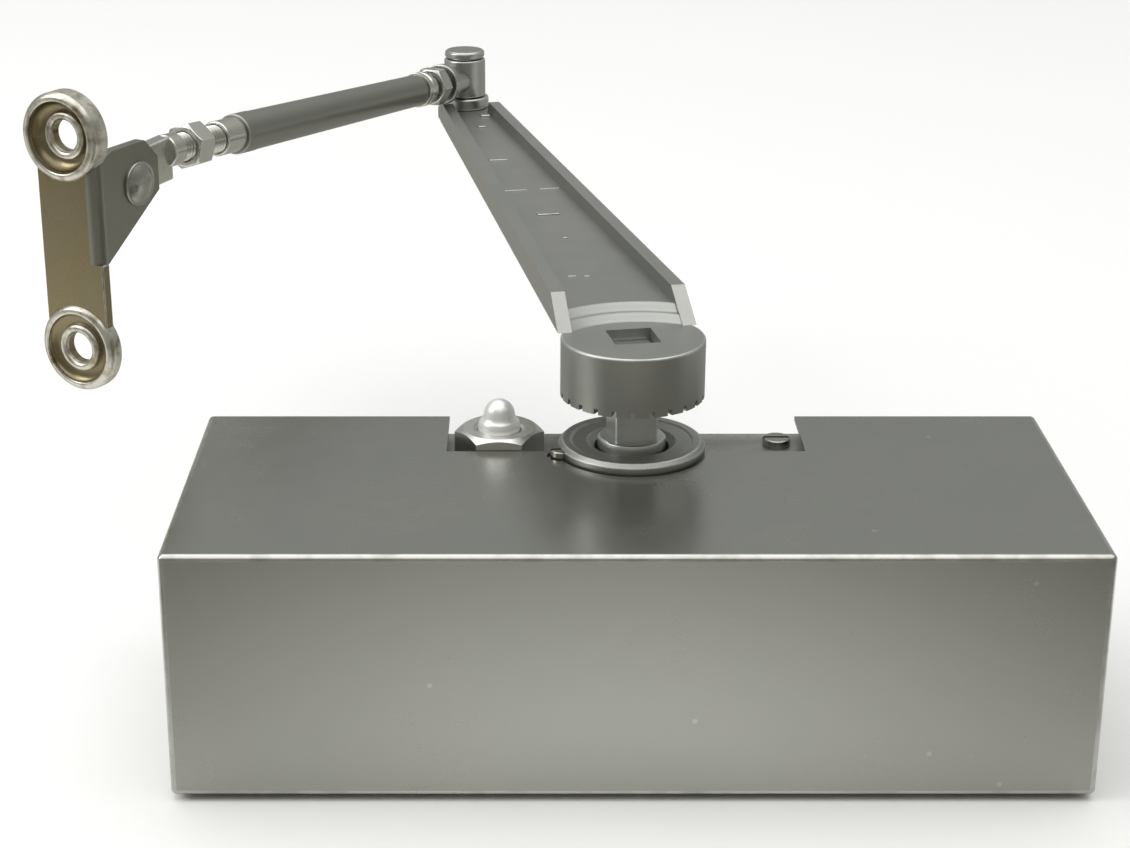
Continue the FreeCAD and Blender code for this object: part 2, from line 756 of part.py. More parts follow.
def make_piston():
    outer = f"({BORE_R} - running_gap)"
    length = f"({PISTON_RIGHT} - {PISTON_LEFT})"
    groove_low = "piston_groove"
    groove_high = f"({groove_low} + cord_dia + 2 * seat_gap)"
    start = spot(PISTON_LEFT, PIN_Y, "0", ALONG_X)
    blank = turned("piston_blank", [
        ("0", "0"),
        (f"{outer} - piston_break", "0"),
        (outer, "piston_break"),
        (outer, groove_low),
        (GROOVE_R, groove_low),
        (GROOVE_R, groove_high),
        (outer, groove_high),
        (outer, f"{length} - piston_break"),
        (f"{outer} - piston_break", length),
        ("0", length),
    ], start)
    slot = block("piston_slot", (SLOT_LEFT, f"{PIN_Y} - {GEAR_TIP_R} - slot_side_gap", "-bore_dia"),
                 (SLOT_RIGHT, RACK_ROOT, "bore_dia"))
    pocket = cylinder("check_pocket_hole", "check_pocket_dia", "check_pocket + overcut",
                      spot(f"{PISTON_LEFT} - overcut", PIN_Y, "0", ALONG_X))
    port = cylinder("check_port_hole", "check_port_dia", "piston_wall_left + 2 * overcut",
                    spot(f"{PISTON_LEFT} - overcut", PIN_Y, "0", ALONG_X))
    carved = cut("piston_carved", blank, slot, pocket, port)
    teeth = doc.addObject("Part::Feature", "rack_teeth")
    teeth.Shape = rack_shape()
    teeth.Placement = spot(PIN_X, f"{PIN_Y} + {GEAR_R}", "-bore_dia / 2")
    limit = cylinder("rack_limit", "bore_dia - 2 * running_gap - seat_gap", length, start)
    trimmed = shared("rack_trimmed", teeth, limit)
    piston = fused("rack_piston", carved, trimmed)
    seal_x = f"{PISTON_LEFT} + {groove_low} + cord_dia / 2 + seat_gap"
    seal = make_cord_ring("piston_seal", BORE_R, spot(seal_x, PIN_Y, "0", ALONG_X))
    seat = f"({PISTON_LEFT} + check_pocket)"
    nest = "sqrt(ball_dia * ball_dia / 4 - check_port_dia * check_port_dia / 4)"
    ball = doc.addObject("Part::Sphere", "check_ball")
    bind(ball, Radius="ball_dia / 2")
    ball.Placement = spot(f"{seat} - {nest} - running_gap", PIN_Y, "0")
    stopper = turned("check_plug", sleeve("check_port_dia", "check_pocket_dia - 2 * seat_gap", "0",
                                          "check_plug_length"), spot(PISTON_LEFT, PIN_Y, "0", ALONG_X))
    return [piston, seal, ball, stopper]


# Closing spring with its seat and adjusting screw
def make_spring():
    span = f"({SEAT_LEFT} - {PISTON_RIGHT} - spring_wire - 2 * spring_end_gap)"
    mean_r = f"({BORE_R} - spring_side_gap - spring_wire / 2)"
    start = spot(f"{PISTON_RIGHT} + spring_wire / 2 + spring_end_gap", PIN_Y, "0", ALONG_X)
    coil = doc.addObject("Part::Helix", "spring_coil")
    bind(coil, Radius=mean_r, Height=span, Pitch=f"{span} / spring_turns")
    wire = doc.addObject("Part::Circle", "spring_section")
    bind(wire, Radius="spring_wire / 2")
    wire.Placement = Placement(Vector(size(mean_r), 0, 0), Rotation(X_AXIS, 90))
    spring = doc.addObject("Part::Sweep", "closing_spring")
    spring.Sections = [wire]
    spring.Spine = (coil, [])
    spring.Solid = True
    spring.Frenet = True
    spring.Placement = start
    hole = "(adjuster_dia + 2 * running_gap)"
    seat = turned("spring_seat", [
        (f"{hole} / 2", "0"),
        (f"{BORE_R} - seat_side_gap", "0"),
        (f"{BORE_R} - seat_side_gap", "seat_thickness"),
        ("seat_boss_dia / 2", "seat_thickness"),
        ("seat_boss_dia / 2", "seat_thickness + seat_boss"),
        (f"{hole} / 2", "seat_thickness + seat_boss"),
    ], spot(SEAT_LEFT, PIN_Y, "0", ALONG_X))
    tip = f"({SEAT_LEFT} - adjuster_reach)"
    outside = f"({HALF_BODY} + plug_head + running_gap)"
    rod_end = f"({outside} - {tip})"
    collar_high = f"({PLUG_INNER} - running_gap - {tip})"
    rod = turned("adjuster_rod", [
        ("0", "0"),
        ("adjuster_dia / 2 - edge_break", "0"),
        ("adjuster_dia / 2", "edge_break"),
        ("adjuster_dia / 2", f"{collar_high} - adjuster_collar"),
        ("adjuster_collar_dia / 2", f"{collar_high} - adjuster_collar"),
        ("adjuster_collar_dia / 2", collar_high),
        ("adjuster_dia / 2", collar_high),
        ("adjuster_dia / 2", rod_end),
        ("0", rod_end),
    ], spot(tip, PIN_Y, "0", ALONG_X))
    head = hexed("adjuster_head_hex", "adjuster_flats", "adjuster_head", "0",
                 spot(outside, PIN_Y, "0", ALONG_X))
    return [spring, seat, fused("spring_adjuster", rod, head)]


# Regulating valves on the body's top
def make_valves():
    place = spot("gland_x", "gland_y", BODY_TOP)
    hole = "(spindle_dia + 2 * running_gap)"
    head = hexed("gland_head", "gland_flats", "gland_rise", hole, place)
    thread = turned("gland_shank", sleeve(hole, "gland_thread_dia", "-gland_thread", "0"), place)
    gland = fused("valve_gland", head, thread)
    low = "(-gland_thread - spindle_reach)"
    base = "(gland_rise + running_gap)"
    stem = turned("spindle_stem", [
        ("0", low),
        ("spindle_dia / 2", f"{low} + spindle_dia / 2"),
        ("spindle_dia / 2", base),
        ("dome_dia / 2", base),
        ("dome_dia / 2", f"{base} + dome_wall"),
        ("0", f"{base} + dome_wall"),
    ], place)
    half_ball = doc.addObject("Part::Sphere", "spindle_dome")
    bind(half_ball, Radius="dome_dia / 2 - dome_step")
    half_ball.Angle1 = 0
    half_ball.Placement = place.multiply(spot("0", "0", f"{base} + dome_wall - dome_step"))
    spindle = fused("valve_spindle", stem, half_ball)
    latch = screw("latch_screw", "latch_dia", "latch_reach", "latch_head_dia", "latch_head", "latch_slot",
                  spot("latch_x", "latch_y", f"{BODY_TOP} + running_gap"))
    return [gland, spindle, latch]


# Brackets that carry the cover, with their screws
def make_brackets():
    pieces = []
    front = "(-body_depth)"
    floor = "(-cover_height / 2 + cover_sheet)"
    body_screws = []
    cover_screws = []
    for side, sign in (("left", "-"), ("right", "")):
        name = f"cover_bracket_{side}"
        low_x = f"({sign}bracket_x - bracket_width / 2)"
        high_x = f"({sign}bracket_x + bracket_width / 2)"
        leg = padded(f"{name}_strip", "YZ_Plane", [
            (front, f"{floor} + bracket_rise"),
            (front, floor),
            (f"{front} - bracket_reach", floor),
            (f"{front} - bracket_reach", f"{floor} + bracket_sheet"),
            (f"{front} - bracket_sheet", f"{floor} + bracket_sheet"),
            (f"{front} - bracket_sheet", f"{floor} + bracket_rise"),
        ], f"{high_x} - {low_x}", spot(low_x, "0", "0"))
        seat = spot(f"{sign}bracket_x", f"{front} - bracket_sheet", "bracket_screw_z", ALONG_MINUS_Y)
        behind = spot(f"{sign}bracket_x", f"{front} + overcut", "bracket_screw_z", ALONG_MINUS_Y)
        through = "bracket_sheet + 2 * overcut"
        hole = cylinder(f"{name}_hole", "screw_dia + 2 * seat_gap", through, behind)
        thread = cylinder(f"{name}_thread", "cover_screw_dia + 2 * seat_gap", through,
                          cover_screw_spot(sign, UPRIGHT, "cover_sheet - overcut"))
        pieces.append(cut(name, leg, hole, thread))
        body_screws.append(screw(f"bracket_screw_{side}", "screw_dia", "screw_reach + bracket_sheet",
                                 "screw_head_dia", "screw_head", "latch_slot", seat))
        cover_screws.append(screw(f"cover_screw_{side}", "cover_screw_dia", "cover_screw_reach",
                                  "cover_screw_head_dia", "cover_screw_head", "lock_slot",
                                  cover_screw_spot(sign, DOWN, "0")))
    pieces.append(group("bracket_screws", *body_screws))
    pieces.append(group("cover_screws", *cover_screws))
    return pieces


# Main arm: one pressing with a drum over the shaft, a web and two upturned flanges
def arm_turn():
    """Turn the arm's own +Y to its heading."""
    return Rotation(Z_AXIS, size("arm_heading - 90"))


def arm_spot(z):
    """Place a piece in the arm's own frame: origin on the shaft, +Y towards the elbow."""
    return spot(PIN_X, PIN_Y, z, arm_turn())


def taper(inset):
    """Corners of the arm's plan outline, drawn in from its edges by an inset."""
    root = f"(drum_dia / 2 - {inset})"
    tip = f"(arm_half_tip - {inset})"
    return [(f"-{root}", "0"), (root, "0"), (tip, "arm_length"), (f"-{tip}", "arm_length")]


def make_arm():
    tall = "(flange_height + 2 * overcut)"
    strip = padded("arm_strip", "XY_Plane", taper("0"), "flange_height", arm_spot(DRUM_TOP))
    elbow_at = arm_spot(DRUM_TOP).multiply(spot("0", "arm_length", "0"))
    end = cylinder("arm_end", "arm_half_tip * 2", "arm_sheet", elbow_at)
    channel = padded("arm_channel", "XY_Plane", taper("arm_sheet"), tall, arm_spot(WEB_TOP))
    clearing = cylinder("arm_elbow_clearing", "elbow_collar_dia + 2 * elbow_clearing", tall,
                        arm_spot(WEB_TOP).multiply(spot("0", "arm_length", "0")))
    slope_end = "(flange_start + flange_slope)"
    wedge = padded("arm_wedge", "YZ_Plane", [
        ("-drum_dia", "0"),
        ("flange_start", "0"),
        (slope_end, "flange_height"),
        (slope_end, tall),
        ("-drum_dia", tall),
    ], "drum_dia * 2", arm_spot(DRUM_TOP).multiply(spot("-drum_dia", "0", "0")))
    step = cylinder("arm_step", "drum_dia - 2 * step_inset", tall, arm_spot(DRUM_TOP))
    rail = cut("arm_rail", strip, channel, clearing, wedge, step)
    inner = "(drum_dia / 2 - drum_wall)"
    shell = turned("arm_drum_shell", [
        ("0", DRUM_TOP),
        ("0", f"{DRUM_TOP} - arm_sheet"),
        (inner, f"{DRUM_TOP} - arm_sheet"),
        (inner, "drum_bottom"),
        ("drum_dia / 2", "drum_bottom"),
        ("drum_dia / 2", f"{DRUM_TOP} - edge_break"),
        ("drum_dia / 2 - edge_break", DRUM_TOP),
    ], arm_spot("0"))
    hole_side = "(square_side / 2 + window_gap)"
    window = padded("arm_window", "XY_Plane", square_corners(hole_side), "3 * arm_sheet",
                    arm_spot(f"{DRUM_TOP} - 2 * arm_sheet"))
    pin_hole = cylinder("arm_pin_hole", "elbow_pin_dia + 2 * seat_gap", tall,
                        arm_spot(f"{DRUM_TOP} - overcut").multiply(spot("0", "arm_length", "0")))
    notches = rim_notches()
    blank = fused("arm_blank", rail, end, shell)
    return cut("main_arm", blank, window, pin_hole, notches)


def rim_notches():
    """One cutter for the short notches around the drum's lower rim."""
    count = int(size("rim_notches"))
    bar = Part.makeBox(size("drum_dia"), size("rim_notch_width"), size("rim_notch_depth * 2"))
    bar.translate(Vector(size("drum_dia / 2 - drum_wall - overcut"), -size("rim_notch_width / 2"),
                         -size("rim_notch_depth")))
    bars = []
    for number in range(count):
        turned_bar = bar.copy()
        turned_bar.rotate(Vector(), Z_AXIS, 360.0 * (number + 0.5) / count)
        bars.append(turned_bar)
    cutter = doc.addObject("Part::Feature", "arm_rim_notches")
    cutter.Shape = Part.makeCompound(bars)
    cutter.Placement = arm_spot("drum_bottom")
    return cutter


def make_hub():
    """The square-bored insert pressed into the drum."""
    top = f"({DRUM_TOP} - arm_sheet - seat_gap)"
    side = "(drum_dia / 2 - drum_wall - seat_gap)"
    puck = turned("hub_puck", [
        ("0", "drum_bottom + hub_recess"),
        (f"{side} - edge_break", "drum_bottom + hub_recess"),
        (side, "drum_bottom + hub_recess + edge_break"),
        (side, top),
        ("0", top),
    ], arm_spot("0"))
    half = "(square_side / 2 + square_gap)"
    hole = padded("hub_square", "XY_Plane", square_corners(half), "drum_height + 2 * overcut",
                  arm_spot("drum_bottom - overcut"))
    return cut("arm_hub", puck, hole)


# Elbow pin, its collar and cap
def elbow_spot(z):
    """Place a piece on the elbow's axis at a height."""
    return arm_spot(z).multiply(spot("0", "arm_length", "0"))


def make_elbow():
    pin_top = f"({BARREL_TOP} + barrel_gap + elbow_cap_height - elbow_cap_crown)"
    pin = "(elbow_pin_dia / 2)"
    at_axis = elbow_spot("0")
    shaft = turned("elbow_pin", [
        ("0", f"{DRUM_TOP} - elbow_head"),
        ("elbow_head_dia / 2 - edge_break", f"{DRUM_TOP} - elbow_head"),
        ("elbow_head_dia / 2", f"{DRUM_TOP} - elbow_head + edge_break"),
        ("elbow_head_dia / 2", DRUM_TOP),
        (pin, DRUM_TOP),
        (pin, pin_top),
        ("0", pin_top),
    ], at_axis)
    hole = "elbow_pin_dia + 2 * seat_gap"
    collar_top = f"{WEB_TOP} + elbow_collar_height"
    collar = turned("elbow_collar", sleeve(hole, "elbow_collar_dia", WEB_TOP, collar_top), at_axis)
    low = f"({BARREL_TOP} + barrel_gap)"
    top = f"({low} + elbow_cap_height)"
    cap = turned("elbow_cap", [
        (f"{pin} + seat_gap", low),
        ("elbow_cap_dia / 2 - small_break", low),
        ("elbow_cap_dia / 2", f"{low} + small_break"),
        ("elbow_cap_dia / 2", f"{top} - edge_break"),
        ("elbow_cap_dia / 2 - edge_break", top),
        ("0", top),
        ("0", f"{pin_top} + seat_gap"),
        (f"{pin} + seat_gap", f"{pin_top} + seat_gap"),
    ], at_axis)
    return [shaft, collar, cap]


# Forearm: knuckle, lock nuts, tube and rod on one rising axis
def forearm_frame():
    """Origin on the elbow's axis, +Z along the forearm to the foot, +X level to its right."""
    level = heading(size("forearm_heading"))
    rise = math.radians(size("forearm_rise"))
    along = level * math.cos(rise) + Z_AXIS * math.sin(rise)
    side = Z_AXIS.cross(level)
    return Placement(elbow_spot(FOREARM_Z).Base, Rotation(side, along.cross(side), along, "ZXY"))


def foot_frame():
    """Origin on the foot rivet's axis, +Z level away from the elbow, +X level to the right, +Y up."""
    level = heading(size("forearm_heading"))
    side = Z_AXIS.cross(level)
    rise = math.radians(size("forearm_rise"))
    base = elbow_spot(FOREARM_Z).Base + level * size("forearm_length")
    base = base + Z_AXIS * (size("forearm_length") * math.tan(rise) - size("pin_drop"))
    return Placement(base, Rotation(side, Z_AXIS, level, "ZXY"))


def make_forearm():
    frame = forearm_frame()
    stud = "(stud_dia / 2)"
    flange_end = "(boss_end + boss_flange)"
    barrel = cylinder("knuckle_barrel", "barrel_dia", "barrel_height", elbow_spot(BARREL_BOTTOM))
    neck = turned("knuckle_neck", [
        ("0", "0"),
        ("boss_dia / 2", "0"),
        ("boss_dia / 2", "boss_end"),
        ("boss_flange_dia / 2 - small_break", "boss_end"),
        ("boss_flange_dia / 2", "boss_end + small_break"),
        ("boss_flange_dia / 2", f"{flange_end} - small_break"),
        ("boss_flange_dia / 2 - small_break", flange_end),
        (stud, flange_end),
        (stud, "stud_end - thread_lead_in"),
        (f"{stud} - thread_lead_in", "stud_end"),
        ("0", "stud_end"),
    ], frame)
    eye = cylinder("knuckle_eye", "elbow_pin_dia + 2 * running_gap", "barrel_height + 2 * overcut",
                   elbow_spot(f"{BARREL_BOTTOM} - overcut"))
    knuckle = cut("forearm_knuckle", fused("knuckle_blank", barrel, neck), eye)
    nut_bore = "stud_dia + 2 * seat_gap"
    ferrule_r = f"({TUBE_BORE} + ferrule_wall)"
    insert_r = f"({TUBE_BORE} + insert_wall)"
    elbow_nut = hexed("elbow_lock_nut", "elbow_nut_flats", "elbow_nut_height", nut_bore,
                      frame.multiply(spot("0", "0", "elbow_nut_start")))
    ferrule = turned("tube_ferrule", [
        (TUBE_BORE, "ferrule_start"),
        (f"{ferrule_r} - edge_break", "ferrule_start"),
        (ferrule_r, "ferrule_start + edge_break"),
        (ferrule_r, "tube_start"),
        (TUBE_BORE, "tube_start"),
    ], frame)
    tube = turned("forearm_tube", [
        (TUBE_BORE, "tube_start"),
        (f"{TUBE_BORE} + tube_wall_elbow", "tube_start"),
        (f"{TUBE_BORE} + tube_wall_foot", f"{TUBE_END} - tube_band"),
        (f"{TUBE_BORE} + tube_wall_foot", TUBE_END),
        (TUBE_BORE, TUBE_END),
    ], frame)
    insert_end = f"({TUBE_END} + insert_length)"
    insert = turned("tube_insert", [
        (TUBE_BORE, TUBE_END),
        (insert_r, TUBE_END),
        (insert_r, f"{insert_end} - edge_break"),
        (f"{insert_r} - edge_break", insert_end),
        (TUBE_BORE, insert_end),
    ], frame)
    foot_nut = hexed("foot_lock_nut", "foot_nut_flats", "foot_nut_height", nut_bore,
                     frame.multiply(spot("0", "0", "foot_nut_start")))
    return [knuckle, elbow_nut, ferrule, tube, insert, foot_nut, make_rod(frame)]


def make_rod(frame):
    """The threaded rod with a flat eye that hangs on the foot rivet."""
    stud = "(stud_dia / 2)"
    bar = turned("rod_bar", [
        ("0", "rod_start"),
        (f"{stud} - thread_lead_in", "rod_start"),
        (stud, "rod_start + thread_lead_in"),
        (stud, "rod_end"),
        ("0", "rod_end"),
    ], frame)
    foot = foot_frame()
    half = "(eye_thickness / 2)"
    disc = cylinder("rod_eye_disc", "eye_dia", "eye_thickness",
                    foot.multiply(spot(f"-{half}", "0", "0", ALONG_X)))
    back = "(rod_end - forearm_length - tongue_overlap)"
    tongue = padded("rod_tongue", "YZ_Plane", [
        ("eye_dia / 2", "0"),
        ("-eye_dia / 2", "0"),
        ("-eye_dia / 4", back),
        ("eye_dia / 2 + tongue_rise", back),
    ], "eye_thickness", foot.multiply(spot(f"-{half}", "0", "0")))
    hole = cylinder("rod_eye_hole", "rivet_dia + 2 * running_gap", "eye_thickness + 2 * overcut",
                    foot.multiply(spot(f"-{half} - overcut", "0", "0", ALONG_X)))
    return cut("foot_rod", fused("rod_blank", bar, disc, tongue), hole)


# Foot bracket with its ear, plate and two dished bosses, and the rivet
def make_foot():
    foot = foot_frame()
    ear_in = "(eye_thickness / 2 + ear_gap)"
    ear_out = f"({ear_in} + foot_sheet)"
    ear = padded("foot_ear", "YZ_Plane", [
        ("ear_top", "ear_front + foot_sheet"),
        ("-ear_heel", "ear_front + foot_sheet"),
        ("-ear_heel", "ear_front"),
        ("-ear_toe", "-ear_back"),
        ("ear_top - ear_corner", "-ear_back"),
        ("ear_top", "-ear_back + ear_corner"),
    ], "foot_sheet", foot.multiply(spot(ear_in, "0", "0")))
    upper = "(boss_spacing / 2 - plate_drop)"
    lower = "(-boss_spacing / 2 - plate_drop)"
    left = f"({ear_out} - plate_width)"
    face = [(left, lower), (ear_out, lower), (ear_out, upper), (left, upper)]
    plate = padded("foot_plate", "XY_Plane", face, "foot_sheet", foot.multiply(spot("0", "0", "ear_front")))
    middle = f"({left} + plate_width / 2)"
    bosses = []
    cuts = []
    for level, up in (("upper", upper), ("lower", lower)):
        seat = foot.multiply(spot(middle, up, "ear_front"))
        rise = "(foot_sheet + foot_boss_rise)"
        floor = f"({rise} - dish_depth)"
        bosses.append(turned(f"foot_boss_{level}", [
            ("0", "0"),
            ("foot_boss_dia / 2", "0"),
            ("foot_boss_dia / 2", f"{rise} - edge_break"),
            ("foot_boss_dia / 2 - edge_break", rise),
            ("dish_dia / 2", rise),
            ("dish_dia / 2 - dish_slope", floor),
            ("lip_dia / 2 + lip_slope", floor),
            ("lip_dia / 2", f"{floor} + lip_rise"),
            ("0", f"{floor} + lip_rise"),
        ], seat))
        cuts.append(cylinder(f"foot_hole_{level}", "foot_hole", f"{rise} + 2 * overcut",
                             seat.multiply(spot("0", "0", "-overcut"))))
    rivet_hole = cylinder("foot_rivet_hole", "rivet_dia + 2 * seat_gap", "foot_sheet + 2 * overcut",
                          foot.multiply(spot(f"{ear_in} - overcut", "0", "0", ALONG_X)))
    bracket = cut("foot_bracket", fused("foot_blank", ear, plate, *bosses), rivet_hole, *cuts)
    far = "(-eye_thickness / 2 - ear_gap)"
    tail_end = f"({far} - washer_thickness - rivet_tail)"
    tail_r = "(rivet_dia / 2 + rivet_tail)"
    rivet = turned("foot_rivet", [
        ("0", tail_end),
        (f"{tail_r} - rivet_tail_break", tail_end),
        (tail_r, f"{tail_end} + rivet_tail_break"),
        (tail_r, f"{far} - washer_thickness"),
        ("rivet_dia / 2", f"{far} - washer_thickness"),
        ("rivet_dia / 2", ear_out),
        ("rivet_head_dia / 2", ear_out),
        ("rivet_head_dia / 2", f"{ear_out} + edge_break"),
        ("rivet_head_dia / 2 - rivet_slope", f"{ear_out} + rivet_head - rivet_crown"),
        ("rivet_head_dia / 2 - 2 * rivet_slope", f"{ear_out} + rivet_head"),
        ("0", f"{ear_out} + rivet_head"),
    ], foot.multiply(Placement(Vector(), ALONG_X)))
    ring = sleeve("rivet_dia + 2 * seat_gap", "washer_dia", f"{far} - washer_thickness", far)
    washer = turned("rivet_washer", ring, foot.multiply(Placement(Vector(), ALONG_X)))
    return [bracket, rivet, washer]


def make_plugs():
    left = spot(f"-{PLUG_INNER}", PIN_Y, "0", ALONG_MINUS_X)
    right = spot(PLUG_INNER, PIN_Y, "0", ALONG_X)
    pieces = [
        make_plug("end_plug_left", left, "0"),
        make_plug("end_plug_right", right, "adjuster_dia + 2 * running_gap"),
    ]
    for side, place in (("left", left), ("right", right)):
        pieces.append(make_cord_ring(f"plug_seal_{side}", BORE_R, place.multiply(spot("0", "0", GROOVE_MID))))
    return pieces


def write_parts(pieces):
    """Check every object and write each sub-part under its own label."""
    doc.recompute()
    for item in doc.Objects:
        if "Invalid" in item.State or "Error" in item.State:
            raise RuntimeError(f"{item.Name} did not build: {item.State}")
    for piece in pieces:
        if piece.Shape.isNull() or not piece.Shape.isValid():
            raise RuntimeError(f"{piece.Name} has no valid shape")
    os.makedirs("parts", exist_ok=True)
    for piece in pieces:
        piece.Label = piece.Name
        piece.Shape.exportStep(f"parts/{piece.Label}.step")
    print(f"{len(pieces)} sub-parts written")


parts = [make_cover(), make_body()]
parts += make_plugs()
parts.append(make_pinion())
parts += make_bearings()
parts += make_piston()
parts += make_spring()
parts += make_valves()
parts += make_brackets()
parts += [make_arm(), make_hub()]
parts += make_elbow()
parts += make_forearm()
parts += make_foot()
write_parts(parts)
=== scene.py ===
"""Looks of an overhead door closer: silver cover, pressed arm, screw-adjusted forearm and riveted foot.

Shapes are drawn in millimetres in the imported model's frame and become metres when a piece is finished.
A size whose name ends in edge is how far a rounding reaches to each side.
"""

import json
import logging
import math
from dataclasses import dataclass
from enum import Enum
from typing import Iterable, Sequence

import bmesh
import bpy
from bmesh.types import BMEdge, BMesh, BMFace, BMVert
from mathutils import Matrix, Vector


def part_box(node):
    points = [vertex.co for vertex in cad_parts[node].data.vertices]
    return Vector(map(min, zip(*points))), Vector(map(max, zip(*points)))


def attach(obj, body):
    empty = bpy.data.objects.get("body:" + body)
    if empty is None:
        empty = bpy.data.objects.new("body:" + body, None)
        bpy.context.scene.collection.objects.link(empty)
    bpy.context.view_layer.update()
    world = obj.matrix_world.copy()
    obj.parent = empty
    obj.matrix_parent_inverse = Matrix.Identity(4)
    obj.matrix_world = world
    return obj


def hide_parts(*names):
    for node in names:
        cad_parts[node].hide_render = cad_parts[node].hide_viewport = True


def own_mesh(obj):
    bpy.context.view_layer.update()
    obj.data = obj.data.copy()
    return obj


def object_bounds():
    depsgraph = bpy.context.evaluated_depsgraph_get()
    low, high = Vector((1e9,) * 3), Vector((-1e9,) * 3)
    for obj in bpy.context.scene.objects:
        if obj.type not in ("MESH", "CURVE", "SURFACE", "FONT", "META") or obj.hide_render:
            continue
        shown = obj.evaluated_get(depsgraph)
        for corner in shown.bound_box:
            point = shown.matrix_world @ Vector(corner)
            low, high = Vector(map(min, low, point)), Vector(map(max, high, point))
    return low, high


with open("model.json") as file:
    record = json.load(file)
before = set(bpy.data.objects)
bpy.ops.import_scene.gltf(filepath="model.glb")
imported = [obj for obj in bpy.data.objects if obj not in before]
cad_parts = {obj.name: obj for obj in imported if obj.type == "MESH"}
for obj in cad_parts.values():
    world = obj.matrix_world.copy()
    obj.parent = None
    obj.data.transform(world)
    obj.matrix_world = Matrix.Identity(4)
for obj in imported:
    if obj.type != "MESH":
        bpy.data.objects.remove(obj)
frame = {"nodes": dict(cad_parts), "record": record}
cad_low, cad_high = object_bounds()

MM = 0.001
NEAR = 0.01  # sizes in millimetres that differ by less count as equal
LAP = 0.05  # how far joined shapes run into each other, in millimetres
WELD = 1e-4  # points closer than this are merged, in millimetres
CUT = 1e-5  # points closer than this to a cut lie on it, in millimetres
FLAT = 0.4  # packed faces that meet at fewer degrees are made whole
SMOOTH = 32.0  # faces that meet at fewer degrees are shaded as one
UP = Vector((0.0, 0.0, 1.0))
QUARTER = math.radians(90)
RUB = "rub"  # face value that is 1 where a finish is rubbed, and on the foot's boss rims where a highlight is painted
log = logging.getLogger("door_closer")

Point2 = tuple[float, float]
Point3 = tuple[float, float, float]
Span = tuple[float, float]
Colour = tuple[float, float, float]
Profile = tuple[Point2, ...]
Socket = bpy.types.NodeSocket

# Detail and roughness of the noise for patches, streaks and fine grain
OCTAVES = ((4.0, 0.6), (3.0, 0.55), (2.0, 0.5))
# Spans of texture values that a finish stretches to the range from 0 to 1
PATCH_SPAN = (0.3, 0.72)
GRAIN_SPAN = (0.3, 0.75)
SPECK_SPAN = (0.055, 0.035)
RUB_SPAN = (0.25, 0.55)
EDGE_SPAN = (0.53, 0.62)
SMUDGE_SPAN = (0.35, 0.65)
SPECK_SCALE = 55.0  # specks per metre
RUB_SHARE = 0.65  # how far a rubbed edge turns to the worn colour
RELIEF = 0.00003  # height of the fine relief in metres

# One tooth of a screw thread: share of its depth and share of its pitch
TOOTH = ((0.0, 0.0), (0.0, 0.12), (1.0, 0.42), (1.0, 0.58), (0.0, 0.88), (0.0, 1.0))


class Grain(Enum):
    """How a surface was made: texture scales per metre for its patches, streaks and fine grain."""

    LACQUER = (22.0, 140.0, 2600.0)
    PLATED = (60.0, 260.0, 1800.0)
    CAST = (30.0, 700.0, 1600.0)
    MOULDED = (40.0, 200.0, 2400.0)
    GROUND = (45.0, 500.0, 3200.0)


class Edge(Enum):
    """From how many degrees between its faces an edge counts as sharp."""

    FAINT = 20.0
    PLAIN = 25.0
    CLEAR = 40.0
    SQUARE = 60.0


class Wear(Enum):
    """What tells a finish where its edges are rubbed."""

    MARKED = "faces that were marked as rubbed"
    SHAPE = "how sharply the surface turns"

    def source(self, sheet: "Wiring") -> Socket:
        """Give the value that is 1 on rubbed edges.

        Args:
            sheet: wiring of the material's nodes.

        Returns:
            The value.
        """
        if self is Wear.MARKED:
            node = sheet.add("ShaderNodeAttribute")
            node.attribute_name = RUB
            return node.outputs["Fac"]
        return sheet.ramp(sheet.add("ShaderNodeNewGeometry").outputs["Pointiness"], EDGE_SPAN)


